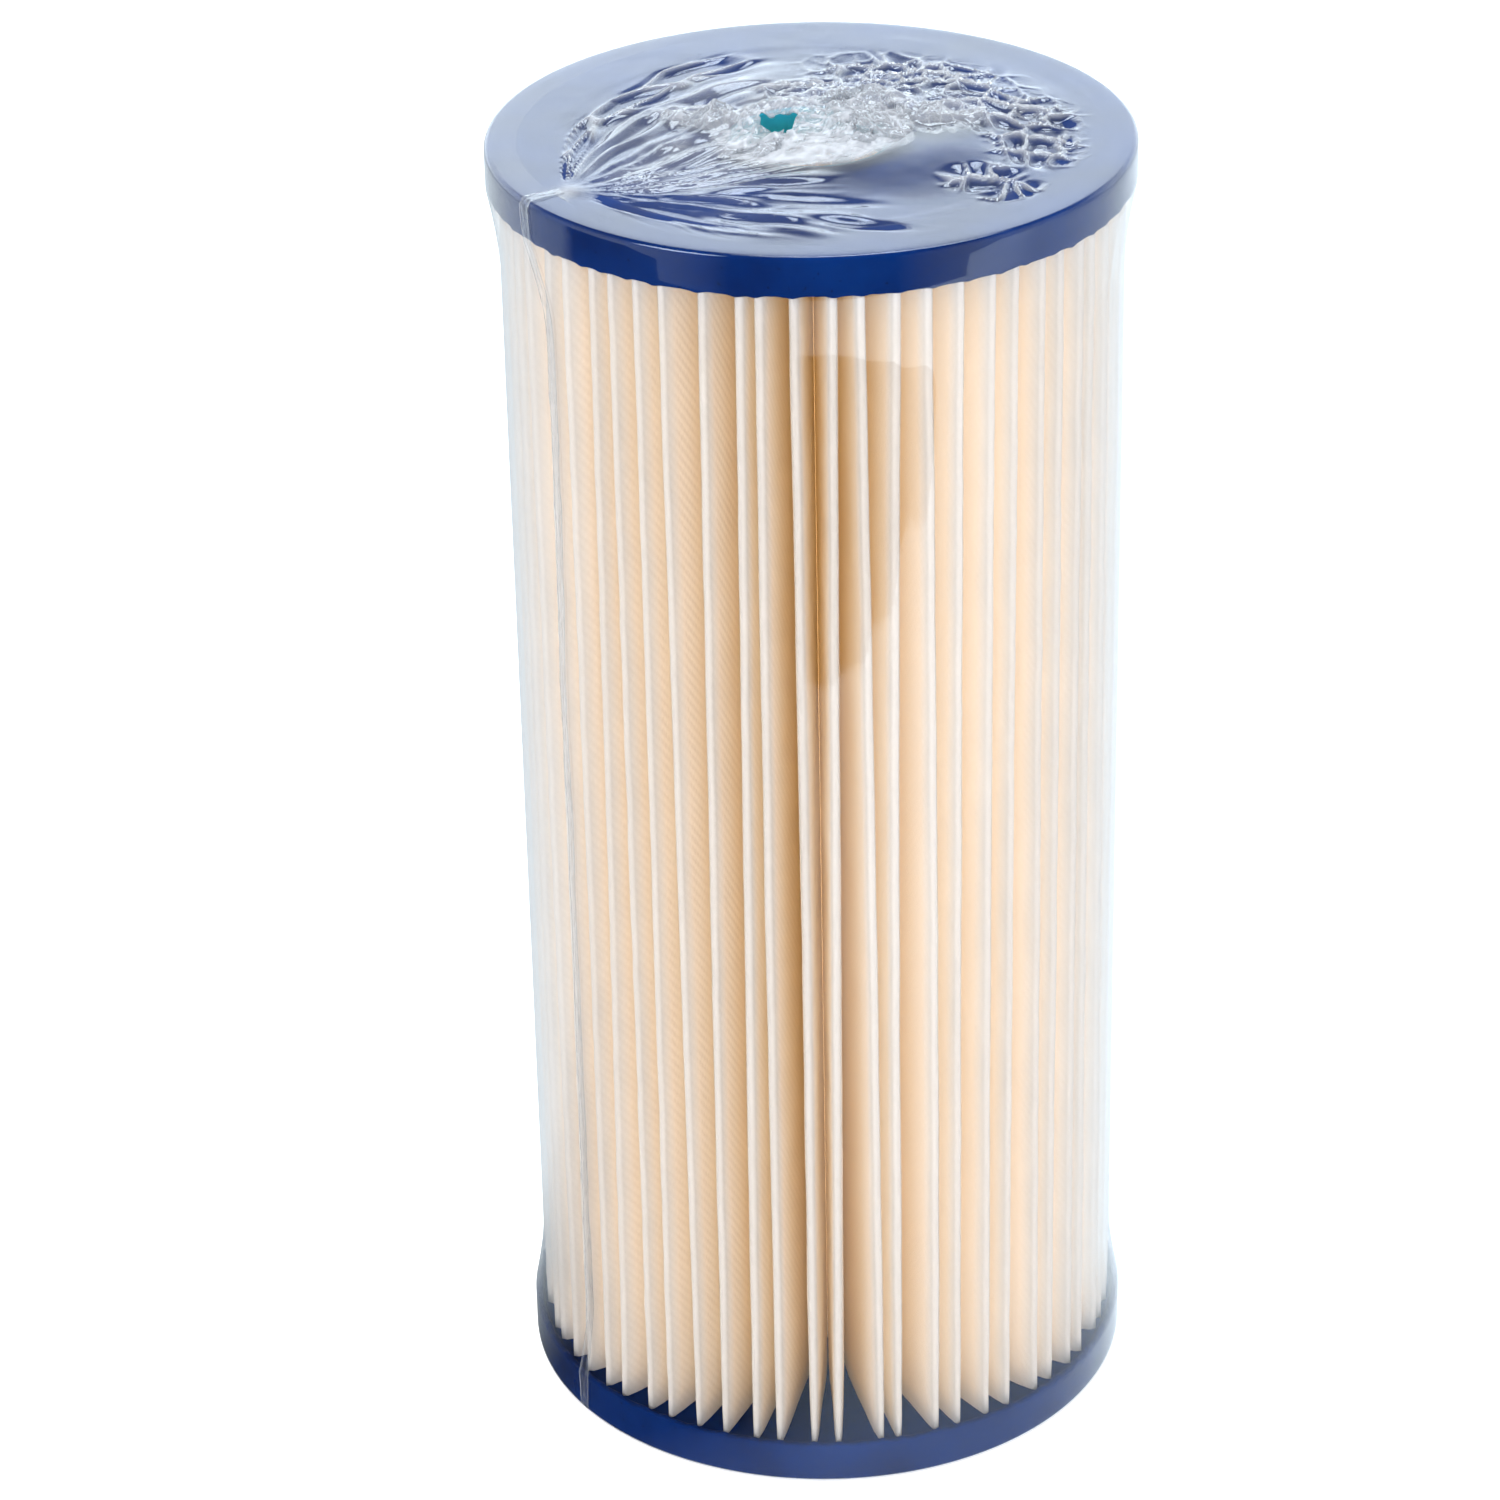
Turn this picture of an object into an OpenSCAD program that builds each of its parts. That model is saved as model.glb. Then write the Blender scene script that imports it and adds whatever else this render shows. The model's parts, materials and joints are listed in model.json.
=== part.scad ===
// Pleated water filter cartridge, open at both ends, in the shrink film it is sold in.
//
// Two round caps are cast over the ends of a folded sheet of filter media and of the
// slotted tube it stands round, so both are set into pockets in the caps. A clear film
// sleeve is shrunk over the whole: it hugs the pleats, folds over both rims and gathers
// round the holes in the caps.
//
// Millimetres. +Z runs along the axis, and the origin is the middle of the face that the
// cartridge stands on, with the film under it.

/* [Overall size] */
// Length over the outer faces of the two end caps
body_h = 247.65; // [230:0.05:260]
// Diameter of the end caps
cap_d = 114.3; // [113.2:0.1:118]

/* [End caps] */
// Diameter of the hole through each cap
bore_d = 28; // [24:0.5:32]
// Height of the top cap's rim
top_rim_h = 7.2; // [6.8:0.1:9]
// Height of the bottom cap's rim
bottom_rim_h = 8.2; // [6.8:0.1:9]
// How far the cast floor between the pleats lies below the rim
dish_depth = 1.6; // [0.8:0.1:1.8]
// Width of the lip round the cast floor
lip_w = 0.9; // [0.6:0.1:1]
// Diameter of the shallow recess in a cap's outer face
recess_d = 89; // [80:1:100]
// Depth of that recess
recess_depth = 0.6; // [0.2:0.1:1]
// Radius on the outer corner of a cap
corner_r = 0.9; // [0.5:0.1:1.2]
// How deep the pleats and the core tube are set into a cap
potting_depth = 3; // [1.5:0.5:3]

/* [Pleated media] */
// Number of pleats
pleat_count = 60; // [40:1:62]
// Diameter over the pleat tips
pleat_d = 110.4; // [106:0.2:110.4]
// Thickness of the sheet
sheet_t = 0.6; // [0.4:0.05:0.6]
// Width of the sheet's middle line across a tip fold
tip_fold_w = 1.5; // [1:0.1:2]
// Direction of the joint between the sheet's two edges
media_seam_azimuth = 90; // [0:3:357]
// How far the adhesive bead of that joint reaches out between the two flanks
seam_bead_reach = 4; // [2:0.5:8]

/* [Core tube] */
// Outer diameter of the core tube
core_d = 38; // [36:0.5:38]
// Wall thickness of the core tube
core_wall = 2; // [1.5:0.1:2.5]
// Windows round the tube
window_columns = 10; // [6:1:10]
// Windows along the tube
window_rows = 14; // [8:1:16]
// Width of a window
window_w = 7.5; // [4:0.5:8]
// Height of a window
window_h = 11; // [6:0.5:11]

/* [Shrink film] */
// Thickness of the film solids, which stand in for a much thinner film
film_t = 0.25; // [0.15:0.05:0.4]
// Height over which the film slopes in from a rim to the pleats
film_slope_h = 16; // [8:1:30]
// Width of the lengthwise lap weld
lap_w = 5; // [3:0.5:8]
// Direction of the lap weld
lap_azimuth = 215; // [0:1:359]
// Height of the gathered film round the top hole
gather_h = 3.6; // [1.5:0.1:6]
// How far the gathered film stays clear of the holes in the caps
gather_clearance = 1; // [0.5:0.5:3]

/* [Hidden] */
$fn = 96;

cap_r = cap_d / 2;
bore_r = bore_d / 2;
recess_r = recess_d / 2;
pleat_r = pleat_d / 2;
core_r = core_d / 2;

// Heights of the caps' outer faces, and of the ends of the media and core tube
bottom_face_z = film_t;
top_face_z = film_t + body_h;
bottom_floor_h = bottom_rim_h - dish_depth;
top_floor_h = top_rim_h - dish_depth;
media_z0 = bottom_face_z + bottom_floor_h - potting_depth;
media_z1 = top_face_z - top_floor_h + potting_depth;
media_h = media_z1 - media_z0;

// The sheet's middle line runs between these radii
fold_clearance = 0.3;
valley_r = core_r + fold_clearance + sheet_t / 2;
tip_r = pleat_r - sheet_t / 2;
pitch_a = 360 / pleat_count;
valley_half_w = PI * valley_r / pleat_count / 2;
tip_half_w = tip_fold_w / 2;
tip_drop = 0.6;

blue = [0.05, 0.25, 0.55];
cream = [0.95, 0.88, 0.76];
white = [0.93, 0.94, 0.93];
clear = [0.86, 0.90, 0.96, 0.35];

// ---- Geometry helpers ----

// A point at radius r in direction a, moved sideways by s
function polar(r, a, s = 0) = [r * cos(a) - s * sin(a), r * sin(a) + s * cos(a)];

// Points on an arc of radius r about c, from angle a0 to a1
function arc(c, r, a0, a1, steps = 5) =
    [for (i = [0:steps]) c + r * [cos(a0 + (a1 - a0) * i / steps), sin(a0 + (a1 - a0) * i / steps)]];

function reversed(list) = [for (i = [len(list) - 1:-1:0]) list[i]];

function unit(v) = v / norm(v);

// The left-hand normal of the step from p to q
function left_normal(p, q) = let (u = unit(q - p)) [-u[1], u[0]];

// An open line of points moved to its left by d, with mitred corners
function moved_left(pts, d) = [
    for (i = [0:len(pts) - 1])
        let (
            before = left_normal(pts[max(i - 1, 0)], pts[max(i, 1)]),
            after = left_normal(pts[min(i, len(pts) - 2)], pts[min(i + 1, len(pts) - 1)])
        )
        pts[i] + d * (before + after) / (1 + before * after)
];

// ---- End caps ----

// Half section of a cap: outer face down, cast floor and lip up
function cap_profile(rim_h) =
    let (floor_h = rim_h - dish_depth, lip_slope = 0.4, lip_r = 0.4)
    concat(
        [[bore_r, recess_depth], [recess_r - recess_depth, recess_depth], [recess_r, 0]],
        arc([cap_r - corner_r, corner_r], corner_r, -90, 0),
        arc([cap_r - lip_r, rim_h - lip_r], lip_r, 0, 90, 3),
        [[cap_r - lip_w, rim_h], [cap_r - lip_w - lip_slope, floor_h], [bore_r, floor_h]]
    );

module cap_blank(rim_h) {
    rotate_extrude() polygon(cap_profile(rim_h));
}

// What is cast into the caps: the folded sheet, its seam and the end of the core tube
module potted_ends() {
    pleat_prism(media_z0, media_h);
    seam_bead_prism(media_z0, media_h);
    translate([0, 0, media_z0]) tube(core_r, core_r - core_wall, media_h);
}

module tube(outer_r, inner_r, h) {
    rotate_extrude() translate([inner_r, 0]) square([outer_r - inner_r, h]);
}

module bottom_end_cap() {
    color(blue) difference() {
        translate([0, 0, bottom_face_z]) cap_blank(bottom_rim_h);
        potted_ends();
    }
}

module top_end_cap() {
    color(blue) difference() {
        translate([0, 0, top_face_z]) mirror([0, 0, 1]) cap_blank(top_rim_h);
        potted_ends();
    }
}

// ---- Pleated media ----

// Middle line of one pleat: out along one flank, over the tip fold and back
function pleat_line(a) = [
    polar(valley_r, a - pitch_a / 2, valley_half_w),
    polar(tip_r - tip_drop, a, -tip_half_w),
    polar(tip_r, a, -tip_half_w / 2),
    polar(tip_r, a, tip_half_w / 2),
    polar(tip_r - tip_drop, a, tip_half_w),
    polar(valley_r, a + pitch_a / 2, -valley_half_w)
];

// Middle line of the whole sheet, once round from the seam and back to it
sheet_line = [
    for (i = [0:pleat_count - 1]) each pleat_line(media_seam_azimuth + (i + 0.5) * pitch_a)
];

module pleat_prism(z, h) {
    half_t = sheet_t / 2;
    translate([0, 0, z]) linear_extrude(height = h)
        polygon(concat(moved_left(sheet_line, -half_t), reversed(moved_left(sheet_line, half_t))));
}

module pleated_media() {
    color(cream) pleat_prism(media_z0, media_h);
}

// The bead fills the gap between the two end flanks and wraps the sheet's two edges
module seam_bead_prism(z, h) {
    foot_half_w = valley_half_w + sheet_t / 2;
    first = sheet_line[0];
    last = sheet_line[len(sheet_line) - 1];
    first_out = unit(sheet_line[1] - first);
    last_out = unit(sheet_line[len(sheet_line) - 2] - last);
    foot_r = core_r + fold_clearance / 2;
    difference() {
        translate([0, 0, z]) linear_extrude(height = h) polygon([
            polar(foot_r, media_seam_azimuth, -foot_half_w),
            polar(foot_r, media_seam_azimuth, foot_half_w),
            polar(valley_r, media_seam_azimuth, foot_half_w),
            first,
            first + seam_bead_reach * first_out,
            last + seam_bead_reach * last_out,
            last,
            polar(valley_r, media_seam_azimuth, -foot_half_w)
        ]);
        pleat_prism(z, h);
    }
}

module media_seam_bead() {
    color(white) seam_bead_prism(media_z0, media_h);
}

// ---- Core tube ----

// One window's cutter, which passes through one wall of the tube
module window_cutter() {
    cutter_depth = core_wall + 2;
    translate([core_r - core_wall / 2, 0, 0])
        cube([cutter_depth, window_w, window_h], center = true);
}

module core_tube() {
    free_z0 = bottom_face_z + bottom_floor_h;
    free_h = top_face_z - top_floor_h - free_z0;
    row_h = free_h / window_rows;
    column_a = 360 / window_columns;
    color(white) difference() {
        translate([0, 0, media_z0]) tube(core_r, core_r - core_wall, media_h);
        for (row = [0:window_rows - 1], column = [0:window_columns - 1])
            translate([0, 0, free_z0 + (row + 0.5) * row_h])
                rotate([0, 0, (column + 0.5) * column_a])
                    window_cutter();
    }
}

// ---- Shrink film ----

// Radius and height of the film's inner side, from the bottom face to the top one
sleeve_line = [
    [cap_r, bottom_face_z],
    [cap_r, bottom_face_z + bottom_rim_h],
    [pleat_r, bottom_face_z + bottom_rim_h + film_slope_h],
    [pleat_r, top_face_z - top_rim_h - film_slope_h],
    [cap_r, top_face_z - top_rim_h],
    [cap_r, top_face_z]
];

// The sleeve's section: the line above, thickened outwards from inner_t to outer_t
module sleeve_section(inner_t, outer_t) {
    polygon(concat(
        [for (p = sleeve_line) p + [inner_t, 0]],
        [for (p = reversed(sleeve_line)) p + [outer_t, 0]]
    ));
}

module film_sleeve() {
    color(clear) rotate_extrude() sleeve_section(0, film_t);
}

module film_lap_weld() {
    lap_a = lap_w / cap_r * 180 / PI;
    color(clear) rotate([0, 0, lap_azimuth - lap_a / 2])
        rotate_extrude(angle = lap_a) sleeve_section(film_t, 2 * film_t);
}

// Height of the gathered film above the cap's face: a steep inner side, a crest near the
// hole and a long slope out to the edge of the recess
function gather_height(s) = film_t + gather_h * sin(180 * pow(s, 0.55)) * (1 - 0.45 * s);

module film_top_gather() {
    inner_r = bore_r + gather_clearance;
    steps = 14;
    mound = [
        for (i = [0:steps])
            [inner_r + (recess_r - inner_r) * i / steps, top_face_z + gather_height(i / steps)]
    ];
    outer_r = cap_r + film_t;
    color(clear) rotate_extrude() polygon(concat(
        mound,
        [
            [outer_r, top_face_z + film_t], [outer_r, top_face_z], [recess_r, top_face_z],
            [recess_r - recess_depth, top_face_z - recess_depth], [inner_r, top_face_z - recess_depth]
        ]
    ));
}

module film_bottom_gather() {
    inner_r = bore_r + gather_clearance;
    outer_r = cap_r + film_t;
    color(clear) rotate_extrude() polygon([
        [inner_r, 0], [outer_r, 0], [outer_r, bottom_face_z], [recess_r, bottom_face_z],
        [recess_r - recess_depth, bottom_face_z + recess_depth],
        [inner_r, bottom_face_z + recess_depth]
    ]);
}

top_end_cap();
bottom_end_cap();
pleated_media();
media_seam_bead();
core_tube();
film_sleeve();
film_lap_weld();
film_top_gather();
film_bottom_gather();
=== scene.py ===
"""Looks of a pleated filter cartridge in shrink film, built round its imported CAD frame.

Lengths are worked out in millimetres and go into the meshes in metres. Directions are
azimuths in degrees about the cartridge's axis, counted from +X towards +Y, so that the
side that faces the viewer is at 270.
"""

import json
import logging
import math
from dataclasses import dataclass, field
from enum import Enum

import bpy
import numpy as np
from mathutils import Matrix, Vector


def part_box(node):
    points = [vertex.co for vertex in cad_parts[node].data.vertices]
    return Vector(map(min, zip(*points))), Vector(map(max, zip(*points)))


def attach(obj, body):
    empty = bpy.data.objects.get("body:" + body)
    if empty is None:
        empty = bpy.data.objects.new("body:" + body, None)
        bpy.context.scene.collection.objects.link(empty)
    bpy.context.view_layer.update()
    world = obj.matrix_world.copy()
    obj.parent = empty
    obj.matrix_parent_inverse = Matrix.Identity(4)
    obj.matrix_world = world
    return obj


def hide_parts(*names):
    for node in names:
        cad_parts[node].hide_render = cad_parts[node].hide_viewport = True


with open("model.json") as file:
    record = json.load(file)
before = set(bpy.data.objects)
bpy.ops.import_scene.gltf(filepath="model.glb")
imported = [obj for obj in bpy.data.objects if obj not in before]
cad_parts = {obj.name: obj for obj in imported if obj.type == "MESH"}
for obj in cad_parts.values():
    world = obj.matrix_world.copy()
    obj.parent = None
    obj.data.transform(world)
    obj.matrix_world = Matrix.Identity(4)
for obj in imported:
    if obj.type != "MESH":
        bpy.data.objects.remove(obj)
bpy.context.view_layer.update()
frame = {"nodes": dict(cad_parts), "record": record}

MM = 0.001
LOG = logging.getLogger("cartridge")

Place = tuple[float, float, float]
Colour = tuple[float, float, float, float]
Socket = bpy.types.NodeSocket
Value = object  # a socket, a number, or a colour or vector as a tuple


class Slot(Enum):
    """The record's material slots, by name."""

    CAPS = "end_caps"
    MEDIA = "media"
    SEAM = "seam_adhesive"
    FILM = "film"


# ---------------------------------------------------------------------------
# Noise, as whole arrays
# ---------------------------------------------------------------------------


def lattice_hash(i: np.ndarray, j: np.ndarray, seed: int) -> np.ndarray:
    """A repeatable number from 0 to 1 for each point of a whole-number lattice.

    Args:
        i: Lattice columns.
        j: Lattice rows.
        seed: Chooses one of many lattices.

    Returns:
        The numbers, in the shape of i and j.
    """
    h = i.astype(np.int64) * 374761393 + j.astype(np.int64) * 668265263 + seed * 1274126177
    h = (h ^ (h >> 13)) * 1274126177 & 0xFFFFFFFF
    h = (h ^ (h >> 16)) & 0xFFFF
    return h / 65535.0


def gradient_noise(x: np.ndarray, y: np.ndarray, seed: int) -> np.ndarray:
    """Smooth noise from about -1 to 1 with features about one unit across.

    Each lattice corner has a random slope. A point takes the four slopes round it, each
    times the way from its corner, blended by the curve 6t^5 - 15t^4 + 10t^3.

    Args:
        x: First coordinate.
        y: Second coordinate.
        seed: Chooses one of many noises.

    Returns:
        The noise, in the shape of x and y.
    """
    x, y = np.broadcast_arrays(x, y)
    i, j = np.floor(x), np.floor(y)
    u, v = x - i, y - j
    total = np.zeros(x.shape)
    fade_u, fade_v = (t * t * t * (t * (t * 6 - 15) + 10) for t in (u, v))
    for di in (0, 1):
        for dj in (0, 1):
            angle = lattice_hash(i + di, j + dj, seed) * 2 * math.pi
            slope = np.cos(angle) * (u - di) + np.sin(angle) * (v - dj)
            weight = (fade_u if di else 1 - fade_u) * (fade_v if dj else 1 - fade_v)
            total += slope * weight
    return total * 1.5


def layered_noise(x: np.ndarray, y: np.ndarray, seed: int, octaves: int = 4) -> np.ndarray:
    """Noise with ever finer detail: each layer is twice as fine and half as strong.

    Args:
        x: First coordinate.
        y: Second coordinate.
        seed: Chooses one of many noises.
        octaves: Number of layers.

    Returns:
        The noise, in the shape of x and y.
    """
    return sum(
        gradient_noise(x * 2**k, y * 2**k, seed + k) * 0.5**k for k in range(octaves)
    )


def creased_noise(x: np.ndarray, y: np.ndarray, seed: int, octaves: int = 4) -> np.ndarray:
    """Noise from 0 to about 1 with sharp crests, as on crumpled film.

    Each layer is one minus the size of smooth noise, squared, so it is sharp where the
    noise changes sign. Layers are 1.9 times as fine and 0.55 times as strong each.

    Args:
        x: First coordinate.
        y: Second coordinate.
        seed: Chooses one of many noises.
        octaves: Number of layers.

    Returns:
        The noise, in the shape of x and y.
    """
    finer, weaker = 1.9, 0.55
    total, weight = 0.0, 0.0
    for k in range(octaves):
        smooth = gradient_noise(x * finer**k, y * finer**k, seed + k)
        crest = 1 - np.minimum(np.abs(smooth) * 1.6, 1)
        total = total + crest**2 * weaker**k
        weight += weaker**k
    return total / weight


def cell_walls(x: np.ndarray, y: np.ndarray, seed: int) -> tuple[np.ndarray, np.ndarray]:
    """Round cells of about one unit, as bubbles in a thin film make them.

    Every lattice square holds one centre. The wall measure is the distance to the second
    nearest centre less that to the nearest, which is 0 on the wall between two cells.

    Args:
        x: First coordinate.
        y: Second coordinate.
        seed: Chooses one of many patterns.

    Returns:
        The wall measure, and a number from 0 to 1 for the cell that each point is in.
    """
    i, j = np.floor(x), np.floor(y)
    first = np.full(x.shape, 9.0)
    second = np.full(x.shape, 9.0)
    cell = np.zeros(x.shape)
    for di in (-1, 0, 1):
        for dj in (-1, 0, 1):
            cx = i + di + 0.1 + 0.8 * lattice_hash(i + di, j + dj, seed)
            cy = j + dj + 0.1 + 0.8 * lattice_hash(i + di, j + dj, seed + 7)
            away = np.hypot(cx - x, cy - y)
            nearer = away < first
            second = np.where(nearer, first, np.minimum(second, away))
            cell = np.where(nearer, lattice_hash(i + di, j + dj, seed + 13), cell)
            first = np.minimum(first, away)
    return second - first, cell


def smooth_step(low: float, high: float, value: np.ndarray) -> np.ndarray:
    """0 up to low, 1 from high on, and the curve 3t^2 - 2t^3 between.

    Args:
        low: Where it starts; above high for a curve that falls.
        high: Where it ends.
        value: The numbers to take it of.

    Returns:
        The curve's values, in the shape of value.
    """
    t = np.clip((value - low) / (high - low), 0, 1)
    return t * t * (3 - 2 * t)


# ---------------------------------------------------------------------------
# Meshes
# ---------------------------------------------------------------------------


def grid_faces(
    rows: int, columns: int, wrap_rows: bool = False, wrap_columns: bool = False
) -> np.ndarray:
    """Four-sided faces that join the neighbours of a grid of points kept row by row.

    Args:
        rows: Number of rows.
        columns: Number of columns.
        wrap_rows: Whether the last row joins the first.
        wrap_columns: Whether the last column joins the first.

    Returns:
        Point numbers, four to a face. The face's front is along the columns' direction
        crossed with the rows' direction.
    """
    row, column = np.meshgrid(
        np.arange(rows if wrap_rows else rows - 1),
        np.arange(columns if wrap_columns else columns - 1),
        indexing="ij",
    )
    next_row, next_column = (row + 1) % rows, (column + 1) % columns
    corners = [
        row * columns + column,
        row * columns + next_column,
        next_row * columns + next_column,
        next_row * columns + column,
    ]
    return np.stack(corners, axis=-1).reshape(-1, 4)


def make_piece(
    name: str,
    points: np.ndarray,
    faces: np.ndarray,
    material: bpy.types.Material,
    attributes: dict[str, np.ndarray] | None = None,
    replaced: tuple[str, ...] = (),
) -> bpy.types.Object:
    """Makes a smooth-shaded mesh object that rides on the cartridge.

    Args:
        name: The piece's name.
        points: Points in millimetres, three numbers each, in any grid shape.
        faces: Point numbers, four to a face.
        material: Its material.
        attributes: Named numbers, one to a point.
        replaced: The CAD nodes that the piece stands for.

    Returns:
        The new object, at the origin.
    """
    mesh = bpy.data.meshes.new(name)
    flat_points = points.reshape(-1, 3)
    mesh.vertices.add(len(flat_points))
    mesh.vertices.foreach_set("co", (flat_points * MM).astype(np.float32).ravel())
    mesh.loops.add(faces.size)
    mesh.loops.foreach_set("vertex_index", faces.astype(np.int32).ravel())
    mesh.polygons.add(len(faces))
    mesh.polygons.foreach_set("loop_start", np.arange(0, faces.size, 4, dtype=np.int32))
    mesh.update(calc_edges=True)
    mesh.polygons.foreach_set("use_smooth", np.ones(len(faces), dtype=bool))
    edge_of = np.zeros(faces.size, dtype=np.int32)
    mesh.loops.foreach_get("edge_index", edge_of)
    uses = np.bincount(edge_of, minlength=len(mesh.edges))
    if (uses == 1).any():
        mesh.attributes.new("sharp_edge", "BOOLEAN", "EDGE").data.foreach_set("value", uses == 1)
    for attribute, values in (attributes or {}).items():
        layer = mesh.attributes.new(attribute, "FLOAT", "POINT")
        layer.data.foreach_set("value", values.astype(np.float32).ravel())
    mesh.materials.append(material)
    piece = bpy.data.objects.new(name, mesh)
    bpy.context.scene.collection.objects.link(piece)
    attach(piece, "root")
    if replaced:
        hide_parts(*replaced)
    LOG.info("%s: %d points, %d faces", name, len(flat_points), len(faces))
    return piece


def thicken(piece: bpy.types.Object, thickness_mm: float) -> None:
    """Gives a surface both of its sides, so that it is a closed thin sheet."""
    solidify = piece.modifiers.new("Both sides", "SOLIDIFY")
    solidify.thickness = thickness_mm * MM
    solidify.offset = 0.0


def cylinder_points(radius: np.ndarray, azimuth: np.ndarray, z: np.ndarray) -> np.ndarray:
    """Points from radius, azimuth in radians and height, stacked along a last axis of 3."""
    radius, azimuth, z = np.broadcast_arrays(radius, azimuth, z)
    return np.stack([radius * np.cos(azimuth), radius * np.sin(azimuth), z], axis=-1)


# ---------------------------------------------------------------------------
# Finishes
# ---------------------------------------------------------------------------


class NodeTree:
    """A shader node tree, built one node at a time."""

    def __init__(self, owner: bpy.types.Material | bpy.types.World) -> None:
        """Empties the tree of a material or of the world."""
        owner.use_nodes = True
        self.tree = owner.node_tree
        self.tree.nodes.clear()

    def node(self, kind: str, inputs: dict | None = None, **settings: object) -> bpy.types.Node:
        """Adds a node.

        Args:
            kind: The node's type, without the leading ShaderNode.
            inputs: Values or sockets for its inputs, by name or number.
            **settings: The node's own properties.

        Returns:
            The node.
        """
        node = self.tree.nodes.new("ShaderNode" + kind)
        for key, value in settings.items():
            setattr(node, key, value)
        for key, value in (inputs or {}).items():
            if isinstance(value, bpy.types.NodeSocket):
                self.tree.links.new(value, node.inputs[key])
            else:
                node.inputs[key].default_value = value
        return node

    def math(self, operation: str, a: Value, b: Value = 0.0, clamp: bool = False) -> Socket:
        """One step of arithmetic on numbers or sockets."""
        return self.node("Math", {0: a, 1: b}, operation=operation, use_clamp=clamp).outputs[0]

    def product(self, *factors: Value) -> Socket:
        """Multiplies two or more numbers or sockets."""
        result = factors[0]
        for factor in factors[1:]:
            result = self.math("MULTIPLY", result, factor)
        return result

    def remap(
        self, value: Socket, low: float, high: float, to_low: float = 0.0, to_high: float = 1.0
    ) -> Socket:
        """Stretches low..high to to_low..to_high, held at both ends."""
        inputs = {0: value, 1: low, 2: high, 3: to_low, 4: to_high}
        return self.node("MapRange", inputs, clamp=True).outputs[0]

    def mix(self, share: Value, first: bpy.types.Node, second: bpy.types.Node) -> bpy.types.Node:
        """Mixes two shaders: all of the first at 0, all of the second at 1."""
        return self.node("MixShader", {0: share, 1: first.outputs[0], 2: second.outputs[0]})


class Recipe(NodeTree):
    """A material's node tree."""

    def __init__(self, name: str) -> None:
        """Starts an empty material."""
        self.material = bpy.data.materials.new(name)
        super().__init__(self.material)

    def mix_colour(self, share: Value, first: Value, second: Value) -> Socket:
        """Mixes two colours: all of the first at 0, all of the second at 1."""
        node = self.node("Mix", {0: share, 6: first, 7: second}, data_type="RGBA")
        return node.outputs[2]

    def noise(
        self, vector: Socket, scale: float, detail: float = 3.0, roughness: float = 0.5
    ) -> Socket:
        """Noise from 0 to 1."""
        settings = {"Vector": vector, "Scale": scale, "Detail": detail, "Roughness": roughness}
        return self.node("TexNoise", settings).outputs[0]

    def attribute(self, name: str) -> Socket:
        """A number kept on the mesh's points."""
        return self.node("Attribute", attribute_name=name).outputs["Fac"]

    def object_place(self, scale: Place = (1, 1, 1)) -> Socket:
        """Object coordinates, stretched along the axes."""
        place = self.node("TexCoord").outputs["Object"]
        return self.node("Mapping", {"Vector": place, "Scale": scale}).outputs[0]

    def from_axis(self) -> Socket:
        """Distance from the cartridge's axis, in metres."""
        level = self.object_place((1, 1, 0))
        return self.node("VectorMath", {0: level}, operation="LENGTH").outputs["Value"]

    def bump(self, height: Socket, strength: float, distance_mm: float) -> Socket:
        """A normal tilted by a height from 0 to 1."""
        inputs = {"Height": height, "Strength": strength, "Distance": distance_mm * MM}
        return self.node("Bump", inputs).outputs[0]

    def finish(self, shader: bpy.types.Node) -> bpy.types.Material:
        """Connects the last shader and returns the material."""
        self.node("OutputMaterial", {"Surface": shader.outputs[0]})
        return self.material


@dataclass(frozen=True)
class CastBlue:
    """Cast flexible blue resin: satin, with clouds of tone and tiny pits, and a bright teal painted
    into the bore's wall as painted light.
    """

    bore_r: float
    deep: Colour = (0.0003, 0.012, 0.082, 1)
    bright: Colour = (0.0004, 0.022, 0.135, 1)
    pit: Colour = (0.0005, 0.006, 0.04, 1)
    painted_light_teal: Colour = (0.03, 0.42, 0.62, 1)

    def material(self) -> bpy.types.Material:
        """Builds the material."""
        r = Recipe("cast_blue_resin")
        place = r.object_place()
        clouds = r.noise(place, 55.0, 4.0)
        colour = r.mix_colour(r.remap(clouds, 0.35, 0.65), self.deep, self.bright)
        pits = r.remap(r.noise(place, 900.0, 2.0), 0.69, 0.73, 0, 0.7)
        colour = r.mix_colour(pits, colour, self.pit)
        grain = r.noise(place, 1500.0, 3.0)
        # Painted light: the bore's wall is painted a bright teal, as if lit.
        painted_light_in_bore = r.remap(r.from_axis(), (self.bore_r + 1.0) * MM, (self.bore_r + 0.2) * MM)
        colour = r.mix_colour(painted_light_in_bore, colour, self.painted_light_teal)
        shader = r.node("BsdfPrincipled", {
            "Base Color": colour,
            "Specular IOR Level": 0.025,
            "Roughness": r.remap(r.noise(place, 140.0, 4.0), 0.3, 0.7, 0.26, 0.42),
            "Normal": r.bump(grain, 0.12, 0.05),
        })
        return r.finish(shader)


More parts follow.
